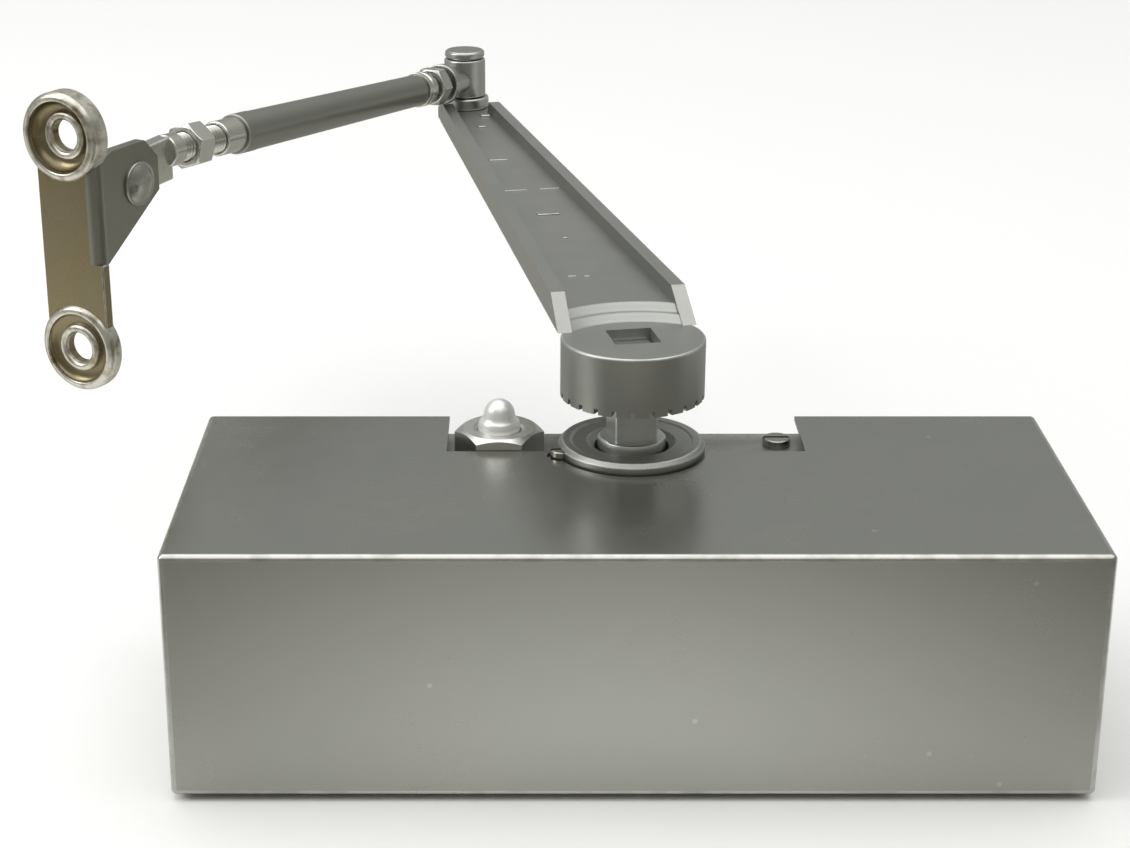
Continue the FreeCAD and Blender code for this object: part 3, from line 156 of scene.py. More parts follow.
@dataclass(frozen=True)
class Finish:
    """One surface finish, as a procedural material on object coordinates."""

    name: str
    slot: str  # the record's material slot
    grain: Grain
    base: Colour
    second: Colour  # what the patches drift towards
    worn: Colour  # colour of rubbed edges, also the painted highlight on the foot's boss rims
    metallic: float = 0.9
    roughness: float = 0.35
    spread: float = 0.06  # how far roughness wanders to each side
    bump: float = 0.1  # strength of the fine relief
    flake: float = 0.08  # how much the fine grain lightens the colour
    specks: float = 0.0  # how strongly small bright specks show

    def material(self, wear: Wear) -> bpy.types.Material:
        """Build the material once and hand out the same one after that.

        Args:
            wear: what tells it where edges are rubbed.

        Returns:
            The material with its nodes.
        """
        title = f"{self.name}_{wear.name.lower()}"
        found = bpy.data.materials.get(title)
        if found:
            return found
        made, sheet, shader = new_material(title)
        shader.inputs["Metallic"].default_value = self.metallic
        place = sheet.place("Object")
        patches, streaks, grain = (sheet.noise(place, scale, *octaves)
                                   for scale, octaves in zip(self.grain.value, OCTAVES))
        tint = sheet.mix(sheet.ramp(patches, PATCH_SPAN), self.base, self.second)
        flakes = sheet.ramp(grain, GRAIN_SPAN)
        specks = sheet.ramp(sheet.cells(place, SPECK_SCALE), SPECK_SPAN)
        # Rubbed faces turn to the worn colour; on the foot's boss rims this is also a painted highlight.
        rubbed = sheet.times(wear.source(sheet), sheet.ramp(streaks, RUB_SPAN))
        for value, share in ((flakes, self.flake), (specks, self.specks), (rubbed, RUB_SHARE)):
            tint = sheet.mix(sheet.times(value, share), tint, self.worn)
        sheet.join(tint, shader.inputs["Base Color"])
        span = (self.roughness - self.spread, self.roughness + self.spread)
        smudge = sheet.map_range(sheet.average(patches, streaks), SMUDGE_SPAN, span)
        sheet.join(smudge, shader.inputs["Roughness"])
        relief = sheet.add("ShaderNodeBump")
        relief.inputs["Strength"].default_value = self.bump
        relief.inputs["Distance"].default_value = RELIEF
        sheet.join(sheet.average(grain, streaks), relief.inputs["Height"])
        sheet.join(relief.outputs["Normal"], shader.inputs["Normal"])
        return made


class Wiring:
    """Short-hand for adding and joining shader nodes in one tree."""

    def __init__(self, tree: bpy.types.NodeTree) -> None:
        """Keep the tree that nodes are added to."""
        self.tree = tree

    def add(self, kind: str) -> bpy.types.Node:
        """Add one node of a kind."""
        return self.tree.nodes.new(kind)

    def find(self, kind: str) -> bpy.types.Node:
        """Find the node of a kind that the tree came with."""
        return next(node for node in self.tree.nodes if node.type == kind)

    def join(self, start: Socket, end: Socket) -> None:
        """Link an output to an input."""
        self.tree.links.new(start, end)

    def place(self, kind: str) -> Socket:
        """Give coordinates of a kind."""
        return self.add("ShaderNodeTexCoord").outputs[kind]

    def noise(self, place: Socket, scale: float, detail: float, rough: float) -> Socket:
        """Add a noise texture.

        Args:
            place: coordinates.
            scale: features per metre.
            detail: octaves.
            rough: how strong the finer octaves are.

        Returns:
            The factor output.
        """
        node = self.add("ShaderNodeTexNoise")
        node.inputs["Scale"].default_value = scale
        node.inputs["Detail"].default_value = detail
        node.inputs["Roughness"].default_value = rough
        self.join(place, node.inputs["Vector"])
        return node.outputs["Fac"]

    def cells(self, place: Socket, scale: float) -> Socket:
        """Give the distance to the nearest of many scattered points.

        Args:
            place: coordinates.
            scale: points per metre.

        Returns:
            The distance.
        """
        node = self.add("ShaderNodeTexVoronoi")
        node.inputs["Scale"].default_value = scale
        self.join(place, node.inputs["Vector"])
        return node.outputs["Distance"]

    def ramp(self, value: Socket, span: Span) -> Socket:
        """Stretch a span of values to the range from 0 to 1."""
        return self.map_range(value, span, (0.0, 1.0))

    def map_range(self, value: Socket, span: Span, target: Span) -> Socket:
        """Map a value from one span to another, clamped.

        Args:
            value: what to map.
            span: both ends of the first span.
            target: what they become.

        Returns:
            The mapped value.
        """
        node = self.add("ShaderNodeMapRange")
        for socket, number in zip(list(node.inputs)[1:5], (*span, *target)):
            socket.default_value = number
        self.join(value, node.inputs["Value"])
        return node.outputs["Result"]

    def math(self, kind: str, first: Socket, second: Socket | float) -> Socket:
        """Combine a value with another value or a number.

        Args:
            kind: the operation.
            first: first value.
            second: second value or number.

        Returns:
            The result.
        """
        node = self.add("ShaderNodeMath")
        node.operation = kind
        self.join(first, node.inputs[0])
        if isinstance(second, float):
            node.inputs[1].default_value = second
        else:
            self.join(second, node.inputs[1])
        return node.outputs["Value"]

    def times(self, first: Socket, second: Socket | float) -> Socket:
        """Multiply a value by another value or a number."""
        return self.math("MULTIPLY", first, second)

    def average(self, first: Socket, second: Socket) -> Socket:
        """Give the mean of two values."""
        return self.times(self.math("ADD", first, second), 0.5)

    def mix(self, factor: Socket, first: Socket | Colour, second: Colour) -> Socket:
        """Blend a linked or fixed colour towards a fixed one.

        Args:
            factor: 0 for the first colour, 1 for the second.
            first: first colour.
            second: second colour.

        Returns:
            The blended colour.
        """
        node = self.add("ShaderNodeMix")
        node.data_type = "RGBA"
        self.join(factor, node.inputs["Factor"])
        start, end = (socket for socket in node.inputs if socket.type == "RGBA")
        if isinstance(first, tuple):
            start.default_value = (*first, 1.0)
        else:
            self.join(first, start)
        end.default_value = (*second, 1.0)
        return next(socket for socket in node.outputs if socket.type == "RGBA")


def new_material(name: str) -> tuple[bpy.types.Material, Wiring, bpy.types.Node]:
    """Make a node material.

    Args:
        name: its name.

    Returns:
        The material, the wiring of its nodes and its main shader.
    """
    made = bpy.data.materials.new(name)
    made.use_nodes = True
    sheet = Wiring(made.node_tree)
    return made, sheet, sheet.find("BSDF_PRINCIPLED")


SILVER_LACQUER = Finish("silver_lacquer", "silver_lacquer", Grain.LACQUER, (0.378, 0.383, 0.356),
                        (0.393, 0.395, 0.363), (0.66, 0.66, 0.63), metallic=0.97, roughness=0.26,
                        spread=0.02, bump=0.06, specks=0.4)
ARM_LACQUER = Finish("arm_lacquer", "arm_lacquer", Grain.LACQUER, (0.345, 0.353, 0.336),
                     (0.37, 0.37, 0.341), (0.66, 0.67, 0.65), metallic=0.95, roughness=0.42,
                     spread=0.03, bump=0.08, specks=0.12)
# Lighter than ARM_LACQUER, though both share the arm_lacquer slot: the lift is a painted highlight on the
# elbow's turned parts. Its lower roughness sharpens the lamp's highlights.
ELBOW_LACQUER_PAINTED_HIGHLIGHT = Finish("elbow_lacquer_painted_highlight", "arm_lacquer", Grain.LACQUER, (0.41, 0.42, 0.405),
                       (0.43, 0.435, 0.41), (0.7, 0.7, 0.68), metallic=0.97, roughness=0.28,
                       spread=0.03, bump=0.08)
TUBE_LACQUER = Finish("tube_lacquer", "tube_lacquer", Grain.LACQUER, (0.268, 0.268, 0.241),
                      (0.284, 0.279, 0.247), (0.55, 0.55, 0.52), metallic=0.9, roughness=0.38, spread=0.03)
# Olive-brown colour of the foot plate; the ear bent from the same sheet is grey. Its worn colour also gives
# the bosses' rims a painted highlight.
FOOT_PLATE_OLIVE = Finish("foot_lacquer", "foot_lacquer", Grain.PLATED, (0.24, 0.193, 0.104),
                        (0.225, 0.197, 0.126), (0.88, 0.87, 0.80), metallic=0.97, roughness=0.3,
                        spread=0.04, flake=0.04)
FOOT_EAR = Finish("foot_ear", "foot_lacquer", Grain.PLATED, (0.25, 0.247, 0.215), (0.27, 0.262, 0.22),
                  (0.6, 0.6, 0.55), metallic=0.97, roughness=0.36, spread=0.04, flake=0.04)
ZINC = Finish("zinc_steel", "zinc_steel", Grain.PLATED, (0.62, 0.615, 0.58), (0.55, 0.54, 0.48),
              (0.85, 0.85, 0.82), metallic=1.0, roughness=0.24, spread=0.05)
RIVET_ZINC = Finish("rivet_zinc", "zinc_steel", Grain.PLATED, (0.40, 0.395, 0.36), (0.36, 0.353, 0.315),
                    (0.8, 0.8, 0.76), metallic=1.0, roughness=0.28, spread=0.04)
NICKEL = Finish("gland_nickel", "gland_nickel", Grain.PLATED, (0.72, 0.725, 0.70), (0.67, 0.665, 0.63),
                (0.86, 0.86, 0.84), metallic=1.0, roughness=0.32, spread=0.04)
DOME = Finish("dome_satin", "gland_nickel", Grain.PLATED, (0.91, 0.915, 0.9), (0.88, 0.88, 0.865),
              (0.94, 0.94, 0.93), metallic=0.55, roughness=0.36, spread=0.03)
RING_STEEL = Finish("ring_steel", "ring_steel", Grain.GROUND, (0.36, 0.37, 0.35), (0.325, 0.323, 0.30),
                    (0.62, 0.63, 0.61), metallic=1.0, roughness=0.42, spread=0.04)
SHAFT_STEEL = Finish("shaft_steel", "shaft_steel", Grain.GROUND, (0.66, 0.68, 0.67), (0.58, 0.59, 0.57),
                     (0.8, 0.81, 0.8), metallic=1.0, roughness=0.34, spread=0.04)
CAST_BODY = Finish("cast_body", "cast_body", Grain.CAST, (0.22, 0.225, 0.215), (0.20, 0.20, 0.188),
                   (0.6, 0.6, 0.57), metallic=0.7, roughness=0.42, bump=0.35)
CAST_PISTON = Finish("cast_piston", "cast_piston", Grain.CAST, (0.2, 0.2, 0.195), (0.16, 0.16, 0.16),
                     (0.45, 0.45, 0.45), metallic=0.9, roughness=0.45, bump=0.3)
SPRING_STEEL = Finish("spring_steel", "spring_steel", Grain.GROUND, (0.16, 0.16, 0.17), (0.1, 0.1, 0.11),
                      (0.4, 0.4, 0.42), metallic=1.0, roughness=0.4)
BRONZE = Finish("bush_bronze", "bush_bronze", Grain.GROUND, (0.5, 0.32, 0.13), (0.42, 0.27, 0.12),
                (0.75, 0.56, 0.3), metallic=1.0, roughness=0.38)
RUBBER = Finish("seal_rubber", "seal_rubber", Grain.MOULDED, (0.02, 0.02, 0.021), (0.032, 0.032, 0.033),
                (0.08, 0.08, 0.08), metallic=0.0, roughness=0.6, bump=0.25)
FINISHES = {finish.slot: finish for finish in (
    SILVER_LACQUER, ARM_LACQUER, TUBE_LACQUER, FOOT_PLATE_OLIVE, ZINC, NICKEL, RING_STEEL, SHAFT_STEEL,
    CAST_BODY, CAST_PISTON, SPRING_STEEL, BRONZE, RUBBER)}


def dress_nodes() -> None:
    """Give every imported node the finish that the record's slot names."""
    for row in frame["record"]["subparts"]:
        data = frame["nodes"][row["node"]].data
        data.materials.clear()
        data.materials.append(FINISHES[row["material_slot"]].material(Wear.SHAPE))


class Shape:
    """A mesh being drawn, in millimetres."""

    def __init__(self) -> None:
        """Start with nothing but the layer for rubbed faces."""
        self.bm: BMesh = bmesh.new()
        self.bm.faces.layers.float.new(RUB)

    def lathe(self, profile: Sequence[Point2], steps: int = 96, closed: bool = True) -> "Shape":
        """Spin a profile of (radius, height) points about the Z axis.

        Args:
            profile: the points in order.
            steps: how many flats make the circle.
            closed: whether the last point joins the first.

        Returns:
            This shape.
        """
        dots = [self.bm.verts.new((radius, 0.0, height)) for radius, height in profile]
        pairs = list(zip(dots, dots[1:])) + ([(dots[-1], dots[0])] if closed else [])
        lines = [self.bm.edges.new(pair) for pair in pairs]
        bmesh.ops.spin(self.bm, geom=dots + lines, cent=(0, 0, 0), axis=(0, 0, 1), angle=math.tau,
                       steps=steps, use_merge=True)
        return self.weld()

    def sleeve(self, inner: float, outer: float, low: float, high: float, steps: int = 96) -> "Shape":
        """Spin a plain sleeve."""
        return self.lathe([(inner, low), (outer, low), (outer, high), (inner, high)], steps)

    def solid(self, radius: float, low: float, high: float, steps: int) -> "Shape":
        """Spin a plain solid rod."""
        return self.lathe([(0.0, low), (radius, low), (radius, high), (0.0, high)], steps, closed=False)

    def prism(self, outline: Sequence[Point2], low: float, high: float) -> "Shape":
        """Raise an outline in the XY plane from one height to another.

        Args:
            outline: corners in order.
            low: lower height.
            high: upper height.

        Returns:
            This shape.
        """
        face = self.bm.faces.new([self.bm.verts.new((x, y, low)) for x, y in outline])
        self.raise_faces([face], high - low)
        return self.weld()

    def raise_faces(self, faces: list[BMFace], height: float) -> None:
        """Extrude faces along Z.

        Args:
            faces: the faces.
            height: how far, downwards if negative.
        """
        grown = bmesh.ops.extrude_face_region(self.bm, geom=faces)["geom"]
        dots = [item for item in grown if isinstance(item, BMVert)]
        bmesh.ops.translate(self.bm, verts=dots, vec=(0, 0, height))

    def thread(self, radius: float, depth: float, pitch: float, span: Span, steps: int = 32) -> "Shape":
        """Wind a screw thread about the Z axis and cut its ends square.

        Args:
            radius: outer radius.
            depth: depth of the groove.
            pitch: rise in one turn.
            span: where it starts and ends.
            steps: flats in one turn.

        Returns:
            This shape.
        """
        low, high = span
        dots = [self.bm.verts.new((radius - depth * (1.0 - out), 0.0, low + (up - 1.0) * pitch))
                for out, up in TOOTH]
        lines = [self.bm.edges.new(pair) for pair in zip(dots, dots[1:])]
        turns = math.ceil((high - low) / pitch) + 1
        bmesh.ops.spin(self.bm, geom=dots + lines, cent=(0, 0, 0), axis=(0, 0, 1),
                       dvec=(0, 0, pitch / steps), angle=math.tau * turns, steps=steps * turns)
        self.weld()
        return self.slice((0, 0, low), (0, 0, -1)).slice((0, 0, high), (0, 0, 1))

    def slice(self, point: Sequence[float], normal: Sequence[float]) -> "Shape":
        """Cut away what lies on the normal's side of a plane and close the cut.

        Args:
            point: a point on the plane.
            normal: direction of the side that goes.

        Returns:
            This shape.
        """
        every = self.bm.verts[:] + self.bm.edges[:] + self.bm.faces[:]
        cut = bmesh.ops.bisect_plane(self.bm, geom=every, dist=CUT, plane_co=point, plane_no=normal,
                                     clear_outer=True)["geom_cut"]
        rim = [item for item in cut if isinstance(item, BMEdge) and item.is_boundary]
        bmesh.ops.holes_fill(self.bm, edges=rim)
        return self

    def hexagon(self, flats: float) -> "Shape":
        """Cut six flats around the Z axis, given the width across them.

        Args:
            flats: that width.

        Returns:
            This shape.
        """
        for side in range(6):
            angle = math.radians(60 * side + 30)
            normal = Vector((math.cos(angle), math.sin(angle), 0))
            self.slice(normal * flats / 2, normal)
        return self

    def close(self) -> "Shape":
        """Fill the open ends."""
        bmesh.ops.holes_fill(self.bm, edges=[edge for edge in self.bm.edges if edge.is_boundary])
        return self

    def weld(self) -> "Shape":
        """Merge doubled points and turn all faces outwards.

        Returns:
            This shape.
        """
        bmesh.ops.remove_doubles(self.bm, verts=self.bm.verts, dist=WELD)
        bmesh.ops.recalc_face_normals(self.bm, faces=self.bm.faces)
        return self

    def sharp(self, edge_kind: Edge = Edge.PLAIN) -> list[BMEdge]:
        """List the edges that count as sharp.

        Args:
            edge_kind: from which angle they count.

        Returns:
            The edges.
        """
        limit = math.radians(edge_kind.value)
        return [edge for edge in self.bm.edges
                if len(edge.link_faces) == 2 and edge.calc_face_angle() > limit]

    def soften(self, edges: Iterable[BMEdge], width: float, segments: int = 3) -> "Shape":
        """Round edges off and mark the roundings as rubbed.

        Args:
            edges: the edges.
            width: how far the rounding reaches to each side.
            segments: flats in the rounding.

        Returns:
            This shape.
        """
        made = bmesh.ops.bevel(self.bm, geom=list(edges), offset=width, offset_type="OFFSET", affect="EDGES",
                               segments=segments, profile=0.5, material=-1, clamp_overlap=True)
        return self.mark(made["faces"])

    def rounded(self, width: float, segments: int = 3, edge_kind: Edge = Edge.PLAIN) -> "Shape":
        """Round off all edges that count as sharp."""
        return self.soften(self.sharp(edge_kind), width, segments)

    def mark(self, faces: Iterable[BMFace]) -> "Shape":
        """Mark faces as rubbed.

        Args:
            faces: the faces.

        Returns:
            This shape.
        """
        rub = self.bm.faces.layers.float[RUB]
        for face in faces:
            face[rub] = 1.0
        return self

    def place(self, matrix: Matrix) -> "Shape":
        """Move every point by a matrix."""
        bmesh.ops.transform(self.bm, matrix=matrix, verts=self.bm.verts)
        return self

    def join(self, other: "Shape") -> "Shape":
        """Take over another shape's mesh.

        Args:
            other: the other shape, which is used up.

        Returns:
            This shape.
        """
        carrier = bpy.data.meshes.new("carrier")
        other.bm.to_mesh(carrier)
        other.bm.free()
        self.bm.from_mesh(carrier)
        bpy.data.meshes.remove(carrier)
        return self

    def copy_node(self, node: str) -> "Shape":
        """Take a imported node's mesh, joined up and with its flat faces made whole.

        Args:
            node: the node's name.

        Returns:
            This shape.
        """
        self.bm.from_mesh(frame["nodes"][node].data)
        self.place(Matrix.Scale(1 / MM, 4)).weld()
        bmesh.ops.dissolve_limit(self.bm, angle_limit=math.radians(FLAT), verts=self.bm.verts,
                                 edges=self.bm.edges)
        return self

    def piece(self, name: str, body: str, finish: Finish, nodes: Sequence[str] = ()) -> bpy.types.Object:
        """Finish the mesh as an object in metres that rides on a body.

        Args:
            name: the object's name.
            body: the body it moves with.
            finish: its surface.
            nodes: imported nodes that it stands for.

        Returns:
            The object.
        """
        self.weld().place(Matrix.Scale(MM, 4))
        data = bpy.data.meshes.new(name)
        self.bm.to_mesh(data)
        self.bm.free()
        data.shade_smooth()
        data.set_sharp_from_angle(angle=math.radians(SMOOTH))
        data.materials.append(finish.material(Wear.MARKED))
        made = bpy.data.objects.new(name, data)
        bpy.context.scene.collection.objects.link(made)
        weighted = made.modifiers.new("weighted", "WEIGHTED_NORMAL")
        weighted.keep_sharp = True
        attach(made, body)
        if nodes:
            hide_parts(*nodes)
        log.info("%s: %d faces on %s", name, len(data.polygons), body)
        return made


def arc(centre: Point2, radius: float, start: float, end: float, steps: int) -> list[Point2]:
    """List the points along an arc between two angles in degrees, with both ends."""
    angles = [math.radians(start + (end - start) * step / steps) for step in range(steps + 1)]
    return [(centre[0] + radius * math.cos(angle), centre[1] + radius * math.sin(angle)) for angle in angles]


def hex_end(flats: float, share: float) -> tuple[float, float, float]:
    """Give a hexagon's radius at its flat end and at its corners, and the chamfer's height there."""
    face, corner = flats / 2 * share, flats / math.sqrt(3)
    return face, corner, (corner - face) * math.tan(math.radians(30))


def joint(name: str) -> dict:
    """Find a joint of the record by its name."""
    return next(row for row in frame["record"]["behaviour"]["joints"] if row["name"] == name)


def spot(name: str) -> Vector:
    """Give a joint's place in millimetres."""
    return Vector(joint(name)["pos_m"]) / MM


def axes(origin: Vector, across: Vector, along: Vector) -> Matrix:
    """Make a frame at a point whose X runs across and whose Z runs along, square to each other."""
    turn = Matrix((across, along.cross(across), along)).transposed().to_4x4()
    return Matrix.Translation(origin) @ turn


def pinion_frame() -> Matrix:
    """Frame on the shaft's axis at height 0, turned like the arm.

    Returns:
        The frame as a matrix.
    """
    place = spot("pinion_turn")
    run = spot("elbow_swing") - place
    angle = math.atan2(run.y, run.x) - math.pi / 2
    return Matrix.Translation((place.x, place.y, 0.0)) @ Matrix.Rotation(angle, 4, "Z")


def elbow_frame() -> Matrix:
    """Frame on the elbow's axis at height 0."""
    place = spot("elbow_swing")
    return Matrix.Translation((place.x, place.y, 0.0))


def forearm_frame() -> Matrix:
    """Frame on the elbow's axis with Z along the forearm."""
    along = Vector(joint("tube_turn")["axis"])
    return axes(spot("tube_turn"), UP.cross(along).normalized(), along)


def foot_frame() -> Matrix:
    """Frame on the foot rivet's axis: X along the rivet, Y up, Z out of the foot plate."""
    side = Vector(joint("foot_pivot")["axis"])
    return axes(spot("foot_pivot"), side, side.cross(UP))


@dataclass
class Cover:
    """The folded sheet cover with the notch for the shaft in its top."""

    width: float = 240.0
    depth: float = 100.0  # how far it stands off the door
    height: float = 68.0
    sheet: float = 1.2  # sheet thickness
    bend: float = 1.6  # outer bend radius
    rim: float = 0.25  # rounding of the cut edges
    notch_half: float = 50.0  # half the notch's width
    notch_depth: float = 28.0  # how far the notch reaches from the door
    bay_radius: float = 21.5  # bay around the bearing ring
    bay_span: Span = (-6.14, -153.4)  # where its arc starts and ends, in degrees
    lock_at: Point2 = (-18.1, -31.35)  # centre of the small bay for the lock screw
    lock_radius: float = 4.0
    lock_span: Span = (-83.2, -236.8)  # where its arc starts and ends, in degrees

    def top_outline(self) -> list[Point2]:
        """Give the top's outline with the notch and both bays.

        Returns:
            Corners in order, of which the first four are the box's.
        """
        half, back = self.width / 2, -self.notch_depth
        place = spot("pinion_turn")
        ring = arc((place.x, place.y), self.bay_radius, *self.bay_span, steps=48)
        lock = arc(self.lock_at, self.lock_radius, *self.lock_span, steps=14)
        return [(-half, 0.0), (-half, -self.depth), (half, -self.depth), (half, 0.0), (self.notch_half, 0.0),
                (self.notch_half, back), *ring, *lock, (-self.notch_half, back), (-self.notch_half, 0.0)]

    def build(self) -> None:
        """Fold the sheet and round its bends and its rim."""
        shape, top = Shape(), self.height / 2
        bm = shape.bm
        roof = bm.faces.new([bm.verts.new((x, y, top)) for x, y in self.top_outline()])
        upper = roof.verts[:4]  # the outline starts with the box's corners
        lower = [bm.verts.new((dot.co.x, dot.co.y, -top)) for dot in upper]
        bm.faces.new(reversed(lower))
        for first, second in ((0, 1), (1, 2), (2, 3)):
            bm.faces.new((upper[first], lower[first], lower[second], upper[second]))
        shape.weld().rounded(self.bend, 5, Edge.SQUARE)
        bmesh.ops.recalc_face_normals(bm, faces=bm.faces)
        bmesh.ops.solidify(bm, geom=bm.faces[:], thickness=self.sheet)
        shape.rounded(self.rim, 2, Edge.SQUARE).piece("cover_sheet", "housing", SILVER_LACQUER, ["cover"])


@dataclass
class Foot:
    """The riveted foot: a plate with two dished bosses, bent round to an ear."""

    sheet: float = 3.5  # sheet thickness
    edge: float = 0.6  # rounding of the cut edges
    back: float = 16.4  # back face of the plate
    width: float = 22.2  # plate width
    tuck: float = 1.1  # how far inside a boss's wall the plate ends
    upper: float = 17.6  # height of the upper boss
    lower: float = -48.4  # height of the lower boss
    boss: float = 13.5  # boss radius
    upper_rise: float = 3.4  # how far the upper boss stands out of the plate
    lower_rise: float = 1.2  # how far the lower boss stands out of the plate
    roll: float = 2.0  # radius of a boss's rolled rim
    brow: float = 0.6  # how far below the rim's top the dish starts
    brow_roll: float = 0.9  # radius of the rim's inner side
    dish: float = 3.4  # radius of the dish before it is stretched to its depth
    dish_inset: float = 4.0  # how far the dish's centre lies inside the rim's crest
    sunk: float = 1.2  # how far the dish reaches below the plate's face
    hole: float = 4.7  # screw hole radius
    lip: float = 1.4  # radius of the lip around the hole
    lip_sunk: float = 0.8  # how far below the plate's face the lip starts to curl over
    wear_and_highlight_rim: float = 0.7  # how far inside the rolled rim the worn colour reaches: rubbed plating and painted highlight
    wear_and_highlight_lip: float = 2.9  # how far around the hole the worn colour reaches: rubbed plating and painted highlight
    wear_and_highlight_low: float = 0.6  # how far down the lip the worn colour reaches: rubbed plating and painted highlight
    bend: float = 3.4  # outer radius of the bend between plate and ear
    seam: float = 1.0  # how far before the bend the ear takes over
    ear_inner: float = 2.8  # the ear's inner face from the rod's middle
    ear_top: float = 12.5  # top of the ear
    ear_heel: float = -21.0  # its lower end at the plate
    ear_toe: float = -4.0  # its lower end at the back
    ear_back: float = -10.0  # how far back it reaches
    ear_corner: float = 6.0  # cut at its upper back corner
    shoulder: float = 4.4  # how far behind the plate its top starts to fall
    shoulder_fall: Point2 = (7.9, 3.0)  # how that cut faces up and forwards
    rivet_rise: float = 2.8  # height of the rivet's head
    rivet_dome: float = 9.7  # radius of its dome
    rivet_head: float = 6.9  # radius of its head
    rivet_roll: float = 0.8  # radius of the head's edge
    rivet_lift: float = 0.35  # how high the edge's middle lies
    rivet_shank: float = 3.5  # shank radius
    rivet_tail: float = -5.3  # where the shank ends

    def outer(self) -> float:
        """Give the place of the ear's outer face, which is also the plate's right edge."""
        return self.ear_inner + self.sheet

    def middle(self) -> float:
        """Give the plate's middle across."""
        return self.outer() - self.width / 2

    def face(self) -> float:
        """Give the place of the plate's front face."""
        return self.back + self.sheet

    def lip_start(self) -> float:
        """Give the height at which the lip around a hole starts to curl over."""
        return self.face() - self.lip_sunk

    def plate(self) -> Shape:
        """Cut the plate between the bosses, with a recess where the ear's bend takes over.

        Returns:
            The plate.
        """
        right, middle, reach = self.outer(), self.middle(), self.boss - self.tuck
        left, inner = right - self.width, right - self.bend - self.seam
        wide = math.degrees(math.acos(self.width / 2 / reach))
        narrow = math.degrees(math.acos((inner - middle) / reach))
        outline = [*arc((middle, self.lower), reach, 180 - wide, wide, 24), (right, self.ear_heel),
                   (inner, self.ear_heel), *arc((middle, self.upper), reach, -narrow, wide - 180, 20)]
        shape = Shape().prism(outline, self.back, self.face())
        edges = [edge for edge in shape.sharp() if all(abs(dot.co.x - left) < NEAR for dot in edge.verts)
                 or all(dot.co.x > right - NEAR for dot in edge.verts)]
        return shape.soften(edges, self.edge)

    def ear(self) -> Shape:
        """Bend the ear round from the plate and trim it to its slanted outline.

        Returns:
            The ear.
        """
        right, face = self.outer(), self.face()
        seam = right - self.bend - self.seam
        bend = arc((right - self.bend, face - self.bend), self.bend, 90, 0, 10)
        outline = [(seam, face), *bend, (right, self.ear_back), (self.ear_inner, self.ear_back),
                   (self.ear_inner, self.back - self.edge), (self.ear_inner - self.edge, self.back),
                   (seam, self.back)]
        shape = Shape().prism(outline, -self.ear_top, -self.ear_heel).place(Matrix.Rotation(QUARTER, 4, "X"))
        shape.slice((0, self.ear_heel, self.back),
                    (0, self.ear_back - self.back, self.ear_heel - self.ear_toe))
        shape.slice((0, self.ear_top, self.ear_back + self.ear_corner), (0, 1, -1))
        shape.slice((0, self.ear_top, self.back - self.shoulder), (0, *self.shoulder_fall))
        edges = [edge for edge in shape.sharp(Edge.CLEAR)
                 if all(dot.co.x > seam + NEAR for dot in edge.verts)]
        return shape.soften(edges, self.edge)

    def boss_profile(self, rise: float) -> list[Point2]:
        """Draw half a boss: rolled rim, deep dish and raised lip around the hole.

        Args:
            rise: how far it stands out of the plate.

        Returns:
            Points of (radius, height), from the wall's foot to the hole's.
        """
        top, crest = self.face() + rise, self.boss - self.roll
        rim = arc((crest, top - self.roll), self.roll, 0, 90, 10)
        rim += arc((crest, top - self.brow_roll), self.brow_roll, 90, 130, 5)[1:]
        start = top - self.brow
        stretch = (rise + self.sunk - self.brow) / self.dish
        dish = [(across, start + (up - start) * stretch)
                for across, up in arc((crest - self.dish_inset, start), self.dish, -8, -88, 12)]
        lip = arc((self.hole + self.lip, self.lip_start()), self.lip, 15, 180, 12)
        return [(self.boss, self.back), *rim, *dish, *lip, (self.hole, self.back)]

    def is_wear_and_highlight(self, face: BMFace) -> bool:
        """Tell whether a boss's face lies on its rim, its wall or its lip, which take the worn colour as
        rubbed plating and as painted highlight.

        Args:
            face: the face.

        Returns:
            Whether it does.
        """
        middle = face.calc_center_median()
        across = middle.xy.length
        on_lip = across < self.hole + self.wear_and_highlight_lip and middle.z > self.lip_start() - self.wear_and_highlight_low
        return on_lip or across > self.boss - self.roll - self.wear_and_highlight_rim

    def build(self) -> None:
        """Join plate and bosses, with bright rims painted as rubbed plating and as highlight, and add ear and
        rivet.
        """
        shape = self.plate()
        for height, rise in ((self.upper, self.upper_rise), (self.lower, self.lower_rise)):
            boss = Shape().lathe(self.boss_profile(rise), 112)
            # Rims and lips take the worn colour: rubbed plating and painted highlight.
            boss.mark(face for face in boss.bm.faces if self.is_wear_and_highlight(face))
            shape.join(boss.place(Matrix.Translation((self.middle(), height, 0))))
        shape.place(foot_frame()).piece("foot_plate", "foot", FOOT_PLATE_OLIVE, ["foot_bracket"])
        self.ear().place(foot_frame()).piece("foot_ear", "foot", FOOT_EAR)
        self.rivet()

    def rivet(self) -> None:
        """Set the rivet with its domed head."""
        seat, tail = self.outer(), self.rivet_tail
        edge = (self.rivet_head - self.rivet_roll, seat + self.rivet_lift)
        half = [(0.0, seat + self.rivet_rise),
                *arc((0.0, seat + self.rivet_rise - self.rivet_dome), self.rivet_dome, 88, 52, 14),
                *arc(edge, self.rivet_roll, 40, 0, 4), (self.rivet_head, seat), (self.rivet_shank, seat),
                (self.rivet_shank, tail), (0.0, tail)]
        shape = Shape().lathe(half, 64, closed=False).place(foot_frame() @ Matrix.Rotation(QUARTER, 4, "Y"))
        shape.piece("rivet_shank", "foot", RIVET_ZINC, ["foot_rivet"])


